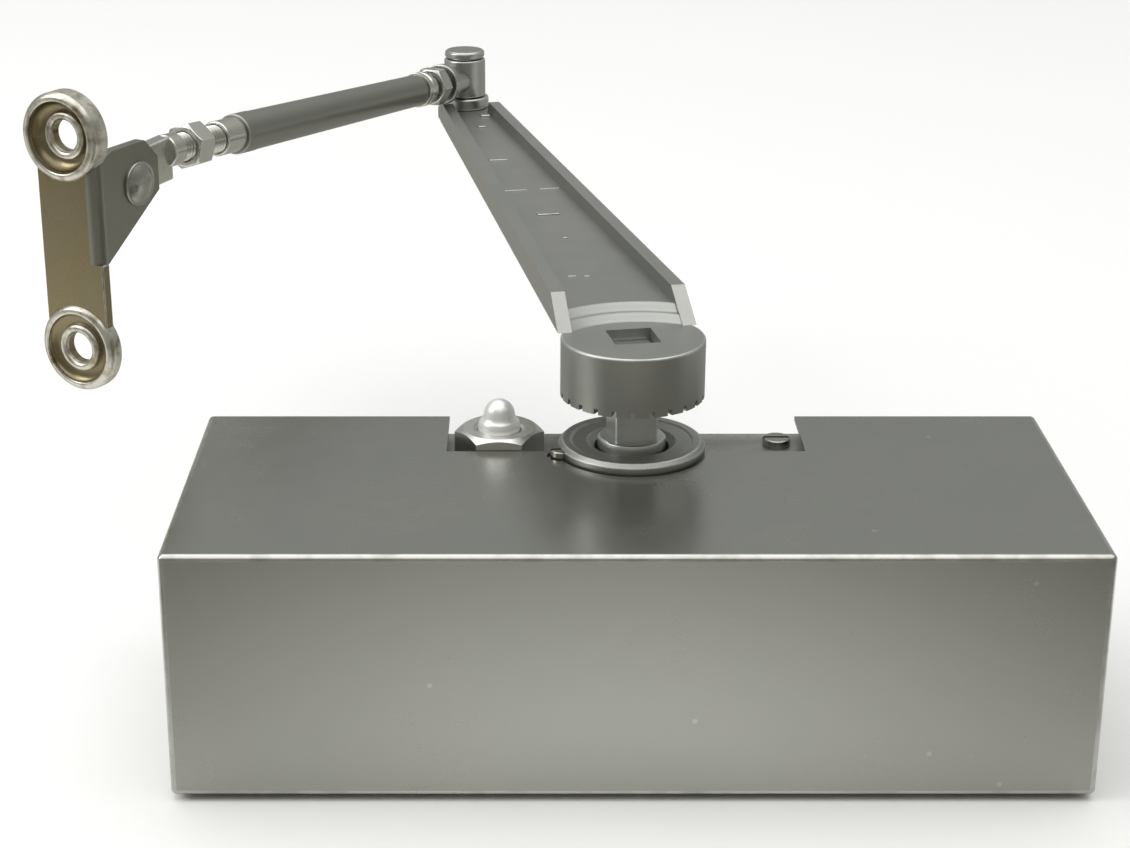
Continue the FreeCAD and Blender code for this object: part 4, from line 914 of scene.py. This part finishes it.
@dataclass
class Forearm:
    """The screw-adjusted forearm; places along it count from the elbow's axis."""

    stud: float = 4.5  # thread radius
    pitch: float = 1.5  # thread pitch
    groove: float = 0.7  # thread depth
    core_gap: float = 0.4  # how much thinner the hidden plain lengths are
    fit: float = 0.05  # play between the thread and the tube's bore
    flats: float = 13.0  # width of both lock nuts across flats
    nut_share: float = 0.95  # share of that width that a nut's flat end covers
    nut_fit: float = 0.1  # play between the thread and a nut
    nut_lead: float = 0.5  # chamfer at a nut's hole
    nut_edge: float = 0.16  # rounding of a nut's edges
    elbow_nut: tuple[float, float] = (21.5, 6.0)  # where the elbow's nut starts, and its height
    foot_nut: tuple[float, float] = (172.5, 8.0)  # where the foot's nut starts, and its height
    foot_nut_turn: float = 0.35  # how far it is turned, in radians
    barrel: tuple[float, ...] = (3.7, 7.8, 75.6, 89.8)  # both radii and both heights
    barrel_edge: float = 0.7
    neck: Profile = ((0.0, 2.0), (5.5, 2.0), (5.5, 16.0), (7.5, 16.0), (7.5, 19.0), (4.4, 19.0), (0.0, 19.0))
    neck_edge: float = 0.45
    stud_span: Span = (18.9, 34.0)  # threaded length of the knuckle's stud
    stud_end: float = 62.0  # end of its plain length inside the tube
    tube_side: Profile = ((5.6, 36.5), (5.75, 37.7), (6.45, 143.6), (6.6, 144.4), (6.6, 153.0))
    tube_edge: float = 0.4
    ferrule_side: Profile = ((6.3, 31.0), (6.3, 33.4), (5.9, 33.7), (5.9, 34.3), (6.3, 34.6), (6.3, 36.5))
    ferrule_edge: float = 0.3
    insert_side: Profile = ((5.7, 153.0), (5.7, 163.5))
    insert_edge: float = 0.6
    rod_start: float = 84.0  # start of the rod's plain length inside the tube
    rod_span: Span = (152.0, 189.1)  # threaded length of the rod
    shoulder: float = 5.2  # radius of the shoulder behind the thread
    shoulder_span: Span = (185.1, 191.1)
    eye: tuple[float, float] = (3.65, 8.5)  # inner and outer radius of the eye on the rivet
    eye_half: float = 2.5  # half the eye's thickness
    eye_edge: float = 0.5
    tongue: Profile = ((-3.0, 8.3), (-5.5, -5.0), (-22.6, -4.25), (-22.6, 9.5))  # from eye to shoulder
    rod_edge: float = 0.6  # rounding of shoulder and tongue

    def nut(self, height: float) -> Shape:
        """Make a hexagon nut with both ends chamfered.

        Args:
            height: its height.

        Returns:
            The nut, standing at height 0.
        """
        face, corner, slope = hex_end(self.flats, self.nut_share)
        hole, lead = self.stud + self.nut_fit, self.nut_lead
        shape = Shape().lathe([(hole, lead), (hole + lead, 0), (face, 0), (corner, slope),
                               (corner, height - slope), (face, height), (hole + lead, height),
                               (hole, height - lead)])
        return shape.hexagon(self.flats).rounded(self.nut_edge, 2)

    def screw(self, span: Span) -> Shape:
        """Wind a threaded length."""
        return Shape().thread(self.stud, self.groove, self.pitch, span)

    def core(self, low: float, high: float) -> Shape:
        """Make a plain length that is hidden in the tube."""
        return Shape().solid(self.stud - self.core_gap, low, high, 48)

    def build(self) -> None:
        """Build the forearm from the elbow to the foot."""
        turn = forearm_frame()
        self.knuckle(turn)
        for name, body, node, (start, height), angle in (
                ("elbow_nut", "forearm", "elbow_lock_nut", self.elbow_nut, 0.0),
                ("foot_nut", "rod", "foot_lock_nut", self.foot_nut, self.foot_nut_turn)):
            place = turn @ Matrix.Translation((0, 0, start)) @ Matrix.Rotation(angle, 4, "Z")
            self.nut(height).place(place).piece(name, body, ZINC, [node])
        self.tube(turn)
        self.rod(turn)

    def knuckle(self, turn: Matrix) -> None:
        """Make the barrel on the elbow pin with its neck and threaded stud.

        Args:
            turn: the forearm's frame.
        """
        barrel = Shape().sleeve(*self.barrel).rounded(self.barrel_edge).place(elbow_frame())
        neck = Shape().lathe(self.neck, 72, closed=False).rounded(self.neck_edge)
        core = self.core(self.stud_span[1], self.stud_end)
        for shape in (neck, self.screw(self.stud_span), core):
            barrel.join(shape.place(turn))
        # Barrel, neck and stud take the elbow lacquer, which is lightened as a painted highlight.
        barrel.piece("knuckle", "forearm", ELBOW_LACQUER_PAINTED_HIGHLIGHT, ["forearm_knuckle"])

    def tube(self, turn: Matrix) -> None:
        """Make the tapered tube with its ferrule and insert.

        Args:
            turn: the forearm's frame.
        """
        bore = self.stud + self.fit
        for name, node, finish, side, (width, segments, kind) in (
                ("tube_shell", "forearm_tube", TUBE_LACQUER, self.tube_side, (self.tube_edge, 3, Edge.CLEAR)),
                ("ferrule", "tube_ferrule", ZINC, self.ferrule_side, (self.ferrule_edge, 2, Edge.PLAIN)),
                ("insert", "tube_insert", ZINC, self.insert_side, (self.insert_edge, 3, Edge.PLAIN))):
            shape = Shape().lathe([(bore, side[0][1]), *side, (bore, side[-1][1])])
            shape.rounded(width, segments, kind).place(turn).piece(name, "tube", finish, [node])

    def rod(self, turn: Matrix) -> None:
        """Make the threaded rod with the flat eye on the rivet.

        Args:
            turn: the forearm's frame.
        """
        rod = self.screw(self.rod_span)
        rod.join(self.core(self.rod_start, self.rod_span[0]))
        shoulder = Shape().solid(self.shoulder, *self.shoulder_span, steps=64).rounded(self.rod_edge)
        rod.join(shoulder).place(turn)
        foot, half = foot_frame(), self.eye_half
        eye = Shape().sleeve(*self.eye, -half, half, steps=72).rounded(self.eye_edge, 2)
        tongue = Shape().prism(self.tongue, -half, half).rounded(self.rod_edge)
        swap = Matrix(((0, 0, 1, 0), (0, 1, 0, 0), (1, 0, 0, 0), (0, 0, 0, 1)))
        rod.join(eye.place(foot @ Matrix.Rotation(QUARTER, 4, "Y"))).join(tongue.place(foot @ swap))
        rod.piece("rod_and_eye", "rod", ZINC, ["foot_rod"])


@dataclass
class Spring:
    """The closing spring, wound in two lengths: one rides on the piston, one on the seat."""

    wire: float = 3.8  # wire diameter
    turns: float = 6.0
    seat_turns: float = 2.0  # how many of them belong to the seat's length
    parting: float = 0.01  # gap between both lengths, in turns
    steps: int = 48  # flats in one turn
    sides: int = 16  # flats around the wire

    def corners(self) -> tuple[Vector, Vector]:
        """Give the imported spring's lowest and highest corners."""
        low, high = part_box("closing_spring")
        return Vector(low) / MM, Vector(high) / MM

    def pitch(self) -> float:
        """Give the distance between two turns."""
        low, high = self.corners()
        return (high.x - low.x - self.wire) / self.turns

    def coil(self, start: float, end: float) -> Shape:
        """Wind the spring in its place from one turn to another.

        Args:
            start: turns before its start, counted from the piston.
            end: turns before its end.

        Returns:
            The coil.
        """
        low, high = self.corners()
        mean = (high.z - low.z - self.wire) / 2
        shift = Matrix.Translation((mean, 0, self.pitch() * start))
        place = Matrix.Rotation(math.tau * start, 4, "Z") @ shift @ Matrix.Rotation(QUARTER, 4, "X")
        shape = Shape()
        ring = bmesh.ops.create_circle(shape.bm, segments=self.sides, radius=self.wire / 2,
                                       matrix=place)["verts"]
        lines = list({edge for dot in ring for edge in dot.link_edges})
        turns = end - start
        count = round(turns * self.steps)
        bmesh.ops.spin(shape.bm, geom=ring + lines, cent=(0, 0, 0), axis=(0, 0, 1), angle=math.tau * turns,
                       dvec=(0, 0, self.pitch() * turns / count), steps=count)
        seat = Matrix.Translation((low.x + self.wire / 2, (low.y + high.y) / 2, (low.z + high.z) / 2))
        return shape.close().place(seat @ Matrix.Rotation(QUARTER, 4, "Y"))

    def build(self) -> None:
        """Wind both lengths and let each ride on the body that the joint at its outer end moves."""
        split = self.turns - self.seat_turns
        couplings = frame["record"]["behaviour"]["couplings"]
        ratio = next(row["ratio"] for row in couplings if row["joint"] == "piston_slide")
        travel = ratio * math.radians(min(joint("pinion_turn")["range_deg"])) / MM
        main = self.coil(0.0, split - self.parting).piece(
            "spring_coil", "piston", SPRING_STEEL, ["closing_spring"])
        1 - travel / (self.pitch() * split + self.wire / 2)
        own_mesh(main)
        shift = -min(joint("seat_slide")["range_m"]) / MM
        tail = self.coil(split, self.turns).piece("spring_tail", "seat", SPRING_STEEL)
        1 - shift / (self.pitch() * self.seat_turns + self.wire / 2)
        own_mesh(tail)


@dataclass
class Top:
    """What shows through the cover's notch: ring, shaft, gland, dome and small screws."""

    deck: float = 28.6  # top of the casting
    rise: float = 8.4  # how far ring and gland stand above it
    # The ring's face from its edge to its bore: radius and depth below its top
    ring_face: Profile = (
        (20.5, 1.2), (19.3, 0.0), (17.1, 0.0), (16.7, 0.5), (12.4, 0.5), (11.6, 1.1), (10.4, 1.9))
    ring_edge: float = 0.3
    shaft_edge: float = 0.6
    flats: float = 22.0  # width of the gland across flats
    gland_share: float = 0.93  # share of that width that its flat end covers
    gland_hole: float = 6.2  # radius of its hole
    gland_lead: Profile = ((7.4, 0.0), (7.1, 0.6))  # step around the hole: radius and depth below the top
    gland_edge: float = 0.2
    dome_foot: float = 6.0  # radius of the spindle
    dome_step: float = 0.8  # how far it stands out of the gland before its waist
    waist_at: Point2 = (7.4, 4.4)  # centre of the waist: radius and height above the gland
    waist: float = 3.0  # radius of the waist's curve
    dome_at: float = 3.9  # centre of the dome above the gland
    dome: float = 4.4  # dome radius
    screw_edge: float = 0.25
    screw_lift: float = 0.1  # edges this far above the casting belong to a screw's head

    def build(self) -> None:
        """Build the pieces around the shaft."""
        self.bearing()
        self.shaft()
        self.gland()
        self.screws()

    def bearing(self) -> None:
        """Make the ring with a sunk band around its bore."""
        top = self.deck + self.rise
        profile = [(self.ring_face[-1][0], self.deck), (self.ring_face[0][0], self.deck),
                   *((radius, top - depth) for radius, depth in self.ring_face)]
        shape = Shape().lathe(profile, 128).rounded(self.ring_edge, 3, Edge.FAINT)
        shape.place(pinion_frame()).piece("ring_body", "housing", RING_STEEL, ["bearing_ring"])

    def shaft(self) -> None:
        """Round the shaft's collar and square end; the rest of the pinion stays as packed."""
        shape = Shape().copy_node("pinion_shaft")
        edges = [edge for edge in shape.sharp(Edge.SQUARE)
                 if edge.is_convex and min(dot.co.z for dot in edge.verts) > self.deck]
        shape.soften(edges, self.shaft_edge).piece("shaft_end", "arm", SHAFT_STEEL, ["pinion_shaft"])

    def gland(self) -> None:
        """Make the hexagonal gland and the domed spindle in it."""
        place, height, hole = spot("speed_adjust"), self.rise, self.gland_hole
        face, corner, slope = hex_end(self.flats, self.gland_share)
        lead = [(radius, height - depth) for radius, depth in self.gland_lead]
        shape = Shape().lathe([(hole, 0), (corner, 0), (corner, height - slope), (face, height), *lead,
                               (hole, lead[-1][1])], 128)
        shape.hexagon(self.flats).rounded(self.gland_edge, 2)
        seat = Matrix.Translation((place.x, place.y, self.deck))
        shape.place(seat).piece("gland_hex", "housing", NICKEL, ["valve_gland"])
        waist = arc((self.waist_at[0], height + self.waist_at[1]), self.waist, 240, 180, 8)[1:]
        crown = arc((0.0, height + self.dome_at), self.dome, 8, 88, 16)
        dome = Shape().lathe([(0, 0), (self.dome_foot, 0), (self.dome_foot, height + self.dome_step), *waist,
                              *crown, (0.0, height + self.dome_at + self.dome)], closed=False)
        dome.place(seat).piece("spindle_dome", "speed_valve", DOME, ["valve_spindle"])

    def screws(self) -> None:
        """Round the slotted heads of the latch screw and of the ring's lock screw."""
        for node, body in (("latch_screw", "latch_valve"), ("ring_lock_screw", "housing")):
            shape = Shape().copy_node(node)
            edges = [edge for edge in shape.sharp(Edge.SQUARE)
                     if min(dot.co.z for dot in edge.verts) > self.deck + self.screw_lift]
            shape.soften(edges, self.screw_edge, 2).piece(f"{node}_head", body, RIVET_ZINC, [node])


@dataclass
class Elbow:
    """Collar and cap at the elbow end of the main arm."""

    collar: tuple[float, ...] = (3.6, 9.0, 71.0, 75.4)  # both radii and both heights
    collar_edge: float = 0.8
    cap: Profile = ((0.0, 90.0), (6.7, 90.0), (6.7, 90.5), (7.5, 90.7), (7.5, 92.3), (6.8, 93.0), (0.0, 93.0))
    cap_edge: float = 0.25

    def build(self) -> None:
        """Build the collar and the cap."""
        # Collar and cap take the elbow lacquer, which is lightened as a painted highlight.
        collar = Shape().sleeve(*self.collar).rounded(self.collar_edge)
        collar.place(elbow_frame()).piece("collar", "arm", ELBOW_LACQUER_PAINTED_HIGHLIGHT, ["elbow_collar"])
        cap = Shape().lathe(self.cap, closed=False).rounded(self.cap_edge, 2)
        cap.place(elbow_frame()).piece("cap", "arm", ELBOW_LACQUER_PAINTED_HIGHLIGHT, ["elbow_cap"])


@dataclass
class MainArm:
    """The pressed channel arm with its drum, drawn with Y along the arm."""

    length: float = 273.1  # distance between the two axes
    root: float = 20.0  # half the width at the shaft
    tip: float = 10.4  # half the width at the elbow
    sheet: float = 4.0  # web thickness
    wall: float = 4.0  # flange thickness
    drum: float = 20.0  # drum radius
    drum_wall: float = 3.0  # its wall
    drum_low: float = 50.3  # its lower rim
    drum_top: float = 67.0  # its top and the web's underside
    crown: float = 0.65  # rounding of its upper edge
    rim: float = 75.2  # top of the flanges
    front: float = 6.5  # where the flanges start
    slope: float = 12.0  # how far their front ends lean back
    flange_end: float = 10.5  # how far before the elbow they end
    end_slope: float = 5.0  # how far their rear ends lean
    flange_edge: float = 0.9  # rounding of their edges
    tail: float = 14.0  # how far before the elbow the web starts to widen
    shoulder: float = 9.0  # how far before the elbow it has its full width
    tail_edge: float = 8.0  # how far before the elbow its edge is rounded
    web_edge: float = 0.5  # rounding of that edge
    web_lap: float = 0.6  # how far the web runs into the flanges
    window: float = 12.8  # side of the square hole
    notches: int = 24  # notches in the drum's lower rim
    notch: float = 1.6  # their depth
    rim_faces: int = 4  # faces of that rim for each notch, one of which stays back
    crescent: float = 33.5  # radius of the steps between drum and web
    crescent_lap: float = 0.1  # how far the web runs into the steps
    crescent_inset: float = 0.5  # how far the steps reach short of the drum's edge
    crescent_run: tuple[float, float] = (40.0, 100.0)  # their start and their length in degrees
    crescent_sunk: float = 0.02  # how far below the web's top they end
    crescent_side: float = 0.3  # how far they run into the flanges
    tread: float = 3.7  # depth of one step
    tread_flats: int = 10  # flats in the curve of one step
    stairs: int = 2
    # Pressing marks on the web: place across and along, half length, half width and height
    bars: tuple[tuple[float, ...], ...] = (
        (-3.0, 187.5, 3.4, 1.1, 0.35), (-0.3, 114.4, 3.6, 1.6, 0.45), (-0.8, 86.0, 0.8, 0.8, 0.35),
        (-5.5, 145.4, 4.6, 0.5, 0.2), (6.6, 145.6, 3.4, 0.5, 0.2), (4.6, 255.7, 1.9, 1.9, 0.7),
        (0.3, 238.1, 1.5, 1.2, 0.5), (-7.2, 46.2, 1.3, 0.7, 0.2), (-2.9, 45.3, 0.9, 0.6, 0.2))
    bar_depth: float = 0.3  # how far a mark reaches into the web
    bar_edge: float = 0.45  # its rounding as a share of its smaller half

    def half(self, along: float) -> float:
        """Give half the arm's width at a distance from the shaft."""
        return self.root + (self.tip - self.root) * along / self.length

    def crescent_at(self) -> float:
        """Give the place along the arm of the steps' centre."""
        return self.drum - self.crescent_inset - self.crescent

    def web(self) -> Shape:
        """Make the flat web with a round end at the elbow and a hollow start at the drum.

        Returns:
            The web.
        """
        end, inner, tuck = self.length, self.crescent - self.crescent_lap, self.wall - self.web_lap
        narrow, wide = end - self.tail, end - self.shoulder
        lean = math.degrees(math.acos((self.half(self.front) - tuck) / inner))
        outline = [(self.half(narrow) - tuck, narrow), (self.half(wide), wide),
                   *arc((0, end), self.tip, 0, 180, 24), (-self.half(wide), wide),
                   (tuck - self.half(narrow), narrow),
                   *arc((0, self.crescent_at()), inner, 180 - lean, lean, 32)]
        shape = Shape().prism(outline, self.drum_top - 2 * LAP, self.drum_top + self.sheet)
        edges = [edge for edge in shape.sharp() if min(dot.co.y for dot in edge.verts) > end - self.tail_edge
                 and abs(edge.verts[0].co.z - edge.verts[1].co.z) < NEAR]
        return shape.soften(edges, self.web_edge)

    def flange(self, side: int) -> Shape:
        """Make one flange with its leaning ends.

        Args:
            side: 1 for the right flange, -1 for the left.

        Returns:
            The flange.
        """
        start, end, tall = self.front, self.length - self.flange_end, self.rim - self.drum_top
        outline = [(side * (self.half(start) - self.wall), start), (side * self.half(start), start),
                   (side * self.half(end), end), (side * (self.half(end) - self.wall), end)]
        shape = Shape().prism(outline, self.drum_top - LAP, self.rim)
        shape.slice((0, start, self.drum_top), (0, -tall, self.slope))
        shape.slice((0, end, self.drum_top + self.sheet), (0, tall, self.end_slope))
        return shape.rounded(self.flange_edge, 4, Edge.FAINT)

    def step(self) -> Shape:
        """Make the soft crescent steps by which the web rises from the drum's top.

        Returns:
            The steps.
        """
        low, reach, rise = self.drum_top, self.crescent, self.sheet / self.stairs
        count = self.tread_flats
        profile = [(reach, low - LAP)]
        for stair in range(self.stairs):
            for step in range(count + 1):
                fall = (1 - math.cos(math.pi * step / count)) / 2
                height = low + rise * (self.stairs - stair - fall) - self.crescent_sunk
                profile.append((reach - self.tread * (stair + step / count), height))
        profile.append((reach - self.stairs * self.tread, low - LAP))
        shape = Shape()
        dots = [shape.bm.verts.new((radius, 0.0, height)) for radius, height in profile]
        lines = [shape.bm.edges.new(pair) for pair in zip(dots, dots[1:] + dots[:1])]
        start, run = (math.radians(angle) for angle in self.crescent_run)
        bmesh.ops.spin(shape.bm, geom=dots + lines, cent=(0, 0, 0), axis=(0, 0, 1), angle=run, steps=64)
        shape.close().weld()
        shape.place(Matrix.Translation((0, self.crescent_at(), 0)) @ Matrix.Rotation(start, 4, "Z"))
        side = self.half(self.front) - self.wall + self.crescent_side
        return shape.slice((side, 0, 0), (1, 0, 0)).slice((-side, 0, 0), (-1, 0, 0))

    def square(self, bm: BMesh, height: float, count: int) -> list[BMEdge]:
        """Draw the square hole's outline as a ring of short edges.

        Args:
            bm: the mesh.
            height: where it lies.
            count: how many edges it has.

        Returns:
            The edges.
        """
        reach, each = self.window / 2, count // 4
        corners = [(reach, -reach), (reach, reach), (-reach, reach), (-reach, -reach)]
        dots = []
        for (x, y), (next_x, next_y) in zip(corners, corners[1:] + corners[:1]):
            dots += [bm.verts.new((x + (next_x - x) * step / each, y + (next_y - y) * step / each, height))
                     for step in range(each)]
        return [bm.edges.new(pair) for pair in zip(dots, dots[1:] + dots[:1])]

    def is_tooth(self, face: BMFace, base: float, count: int) -> bool:
        """Tell whether a face of the drum's lower rim lies between two notches.

        Args:
            face: the face.
            base: height of the rim.
            count: how many faces go around it.

        Returns:
            Whether it does.
        """
        middle = face.calc_center_median()
        number = int(math.atan2(middle.y, middle.x) / math.tau * count + count)
        return number % self.rim_faces != 0 and all(abs(dot.co.z - base) < NEAR for dot in face.verts)

    def cup(self) -> Shape:
        """Make the drum with its square hole and its notched lower rim.

        Returns:
            The drum.
        """
        count, top = self.notches * self.rim_faces, self.drum_top
        base, roof, bore = self.drum_low + self.notch, top - self.sheet, self.drum - self.drum_wall
        side = [(bore, roof), (bore, base), (self.drum, base), (self.drum, top)]
        shape = Shape().lathe(side, count, closed=False)
        bm = shape.bm
        open_edges = [edge for edge in bm.edges if edge.is_boundary]
        upper = [edge for edge in open_edges if edge.verts[0].co.z > top - NEAR]
        lower = [edge for edge in open_edges if edge.verts[0].co.z < top - NEAR]
        hole_top, hole_low = self.square(bm, top, count), self.square(bm, roof, count)
        for first, second in ((upper, hole_top), (hole_top, hole_low), (hole_low, lower)):
            bmesh.ops.bridge_loops(bm, edges=first + second)
        shape.weld()
        teeth = [face for face in bm.faces if self.is_tooth(face, base, count)]
        shape.raise_faces(teeth, -self.notch)
        bmesh.ops.delete(bm, geom=teeth, context="FACES")
        shape.weld()
        crown = [edge for edge in shape.sharp() if all(
            dot.co.z > top - NEAR and abs(dot.co.xy.length - self.drum) < NEAR for dot in edge.verts)]
        return shape.soften(crown, self.crown, 4)

    def marks(self) -> Shape:
        """Make the small pressing marks on the web.

        Returns:
            The marks.
        """
        top = self.drum_top + self.sheet
        shape = Shape()
        for x, y, reach, width, rise in self.bars:
            corners = [(-reach, -width), (reach, -width), (reach, width), (-reach, width)]
            bar = Shape().prism(corners, -self.bar_depth, rise).rounded(min(width, reach) * self.bar_edge, 4)
            shape.join(bar.place(Matrix.Translation((x, y, top))))
        return shape

    def build(self) -> None:
        """Join drum, web, flanges and step, and add the marks."""
        shape = self.cup().join(self.web()).join(self.flange(1)).join(self.flange(-1)).join(self.step())
        shape.place(pinion_frame()).piece("arm_pressing", "arm", ARM_LACQUER, ["main_arm"])
        self.marks().place(pinion_frame()).piece("arm_marks", "arm", ARM_LACQUER)


@dataclass(frozen=True)
class Lamp:
    """A square soft light; lengths in metres."""

    name: str
    at: Point3
    to: Point3  # the point it faces
    size: float  # side of its square
    power: float  # in watts

    def hang(self) -> None:
        """Hang the light in its place."""
        light = bpy.data.lights.new(self.name, "AREA")
        light.shape = "SQUARE"
        light.size = self.size
        light.energy = self.power
        lamp = bpy.data.objects.new(self.name, light)
        lamp.location = self.at
        lamp.rotation_euler = (Vector(self.to) - Vector(self.at)).to_track_quat("-Z", "Y").to_euler()
        bpy.context.scene.collection.objects.link(lamp)


def lay_plane(name: str, half: float, height: float, material: bpy.types.Material) -> bpy.types.Object:
    """Lay a flat square.

    Args:
        name: the object's name.
        half: half its side.
        height: where it lies.
        material: its surface.

    Returns:
        The object.
    """
    shape = bmesh.new()
    bmesh.ops.create_grid(shape, x_segments=2, y_segments=2, size=half)
    bmesh.ops.translate(shape, verts=shape.verts, vec=(0, 0, height))
    data = bpy.data.meshes.new(name)
    shape.to_mesh(data)
    shape.free()
    data.materials.append(material)
    made = bpy.data.objects.new(name, data)
    bpy.context.scene.collection.objects.link(made)
    return made


@dataclass
class Studio:
    """Floor, lights and camera; lengths in metres where nothing else is said."""

    camera_at: Point3 = (-27.3, -617.2, 263.6)  # in millimetres
    pitch: float = 20.6  # how far the camera looks down, in degrees
    focal_px: float = 2269.0  # focal length in pixels of the photograph's frame
    centre_px: float = 528.0  # where the optical axis meets the frame, across, in pixels
    frame_px: float = 1130.0  # width of the photograph's frame in pixels
    sensor: float = 36.0  # sensor width in millimetres
    clip: float = 0.01  # nearest distance that the camera sees
    lamps: tuple[Lamp, ...] = (Lamp("top_softbox", (-0.2, -0.3, 3.0), (0.0, 0.05, 0.0), 5.0, 80.0),
                               Lamp("left_softbox", (-1.5, -0.3, 1.0), (0.0, 0.05, 0.05), 0.8, 8.0))
    matt: float = 0.9  # roughness of floor and mat
    floor_half: float = 15.0  # half the floor's side
    floor_tones: tuple[Colour, Colour] = ((0.955, 0.955, 0.95), (0.97, 0.97, 0.965))
    floor_noise: tuple[float, ...] = (3.0, 3.0, 0.5)  # scale, detail and roughness of what mixes them
    floor_shine: float = 0.1
    mat_half: float = 1.5  # half the mat's side
    mat_lift: float = 0.0005  # how far it lies above the floor
    mat_shift: Point3 = (0.0, 0.10, 0.0)  # moves the middle of its fading to the cover
    mat_stretch: Point3 = (1.1, 1.0, 0.0)  # stretches its fading
    mat_fade: Span = (0.04, 0.25)  # distances between which it darkens
    mat_front: Span = (0.05, -0.05)  # places along Y between which its front begins
    mat_rear: Span = (0.12, 0.22)  # places along Y between which its rear begins
    mat_pale: Colour = (0.95, 0.95, 0.93)
    mat_dark: Colour = (0.19, 0.185, 0.16)
    mat_grey: Colour = (0.42, 0.415, 0.385)
    sky_span: Span = (0.35, 0.95)  # heights between which the room brightens
    sky_low: Colour = (0.35, 0.36, 0.345)
    sky_high: Colour = (0.9, 0.9, 0.9)
    sky_front_span: Span = (0.2, -0.7)  # directions along Y between which the room turns to its front
    sky_front: Colour = (0.26, 0.25, 0.22)

    def build(self) -> None:
        """Set up the floor, the lights, the world and the camera."""
        self.floor()
        self.world()
        self.mat()
        for lamp in self.lamps:
            lamp.hang()
        self.camera()
        bpy.context.scene.view_settings.view_transform = "Standard"

    def floor(self) -> None:
        """Lay a pale floor under the cover."""
        made, sheet, shader = new_material("pale_floor")
        shader.inputs["Roughness"].default_value = self.matt
        shader.inputs["Specular IOR Level"].default_value = self.floor_shine
        tone = sheet.mix(sheet.noise(sheet.place("Object"), *self.floor_noise), *self.floor_tones)
        sheet.join(tone, shader.inputs["Base Color"])
        floor = lay_plane("floor", self.floor_half, cad_low.z, made)

    def mat(self) -> None:
        """Lay a dark mat that shows only in reflections, fading in away from the cover."""
        made, sheet, shader = new_material("dark_mat")
        shader.inputs["Roughness"].default_value = self.matt
        shift = sheet.add("ShaderNodeMapping")
        shift.inputs["Location"].default_value = self.mat_shift
        shift.inputs["Scale"].default_value = self.mat_stretch
        sheet.join(sheet.place("Object"), shift.inputs["Vector"])
        reach = sheet.add("ShaderNodeVectorMath")
        reach.operation = "LENGTH"
        sheet.join(shift.outputs["Vector"], reach.inputs[0])
        split = sheet.add("ShaderNodeSeparateXYZ")
        sheet.join(shift.outputs["Vector"], split.inputs["Vector"])
        along = split.outputs["Y"]
        away = sheet.ramp(reach.outputs["Value"], self.mat_fade)
        ahead = sheet.times(away, sheet.ramp(along, self.mat_front))
        tone = sheet.mix(ahead, self.mat_pale, self.mat_dark)
        tone = sheet.mix(sheet.ramp(along, self.mat_rear), tone, self.mat_grey)
        sheet.join(tone, shader.inputs["Base Color"])
        mat = lay_plane("mat", self.mat_half, cad_low.z + self.mat_lift, made)
        mat.visible_camera = False
        mat.visible_shadow = False
        mat.visible_diffuse = False

    def world(self) -> None:
        """Give the room a soft gradient: bright overhead, grey near the horizon, darker in front."""
        world = bpy.data.worlds.new("studio")
        world.use_nodes = True
        bpy.context.scene.world = world
        sheet = Wiring(world.node_tree)
        back = sheet.find("BACKGROUND")
        split = sheet.add("ShaderNodeSeparateXYZ")
        sheet.join(sheet.place("Generated"), split.inputs["Vector"])
        rear = sheet.mix(sheet.ramp(split.outputs["Z"], self.sky_span), self.sky_low, self.sky_high)
        front = sheet.ramp(split.outputs["Y"], self.sky_front_span)
        sheet.join(sheet.mix(front, rear, self.sky_front), back.inputs["Color"])
        back.inputs["Strength"].default_value = 1.0

    def camera(self) -> None:
        """Place the camera at the photograph's viewpoint."""
        data = bpy.data.cameras.new("camera")
        data.sensor_width = self.sensor
        data.lens = self.focal_px / self.frame_px * self.sensor
        data.shift_x = (self.frame_px / 2 - self.centre_px) / self.frame_px
        data.clip_start = self.clip
        camera = bpy.data.objects.new("camera", data)
        camera.location = Vector(self.camera_at) * MM
        camera.rotation_euler = (math.radians(90 - self.pitch), 0.0, 0.0)
        bpy.context.scene.collection.objects.link(camera)
        bpy.context.scene.camera = camera


def write_sizes() -> None:
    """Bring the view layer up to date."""
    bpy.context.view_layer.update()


def main() -> None:
    """Build the looks piece by piece."""
    logging.basicConfig(level=logging.INFO, format="%(name)s: %(message)s")
    Studio().build()
    dress_nodes()
    Cover().build()
    Top().build()
    MainArm().build()
    Elbow().build()
    Forearm().build()
    Foot().build()
    Spring().build()
    write_sizes()


if __name__ == "__main__":
    main()
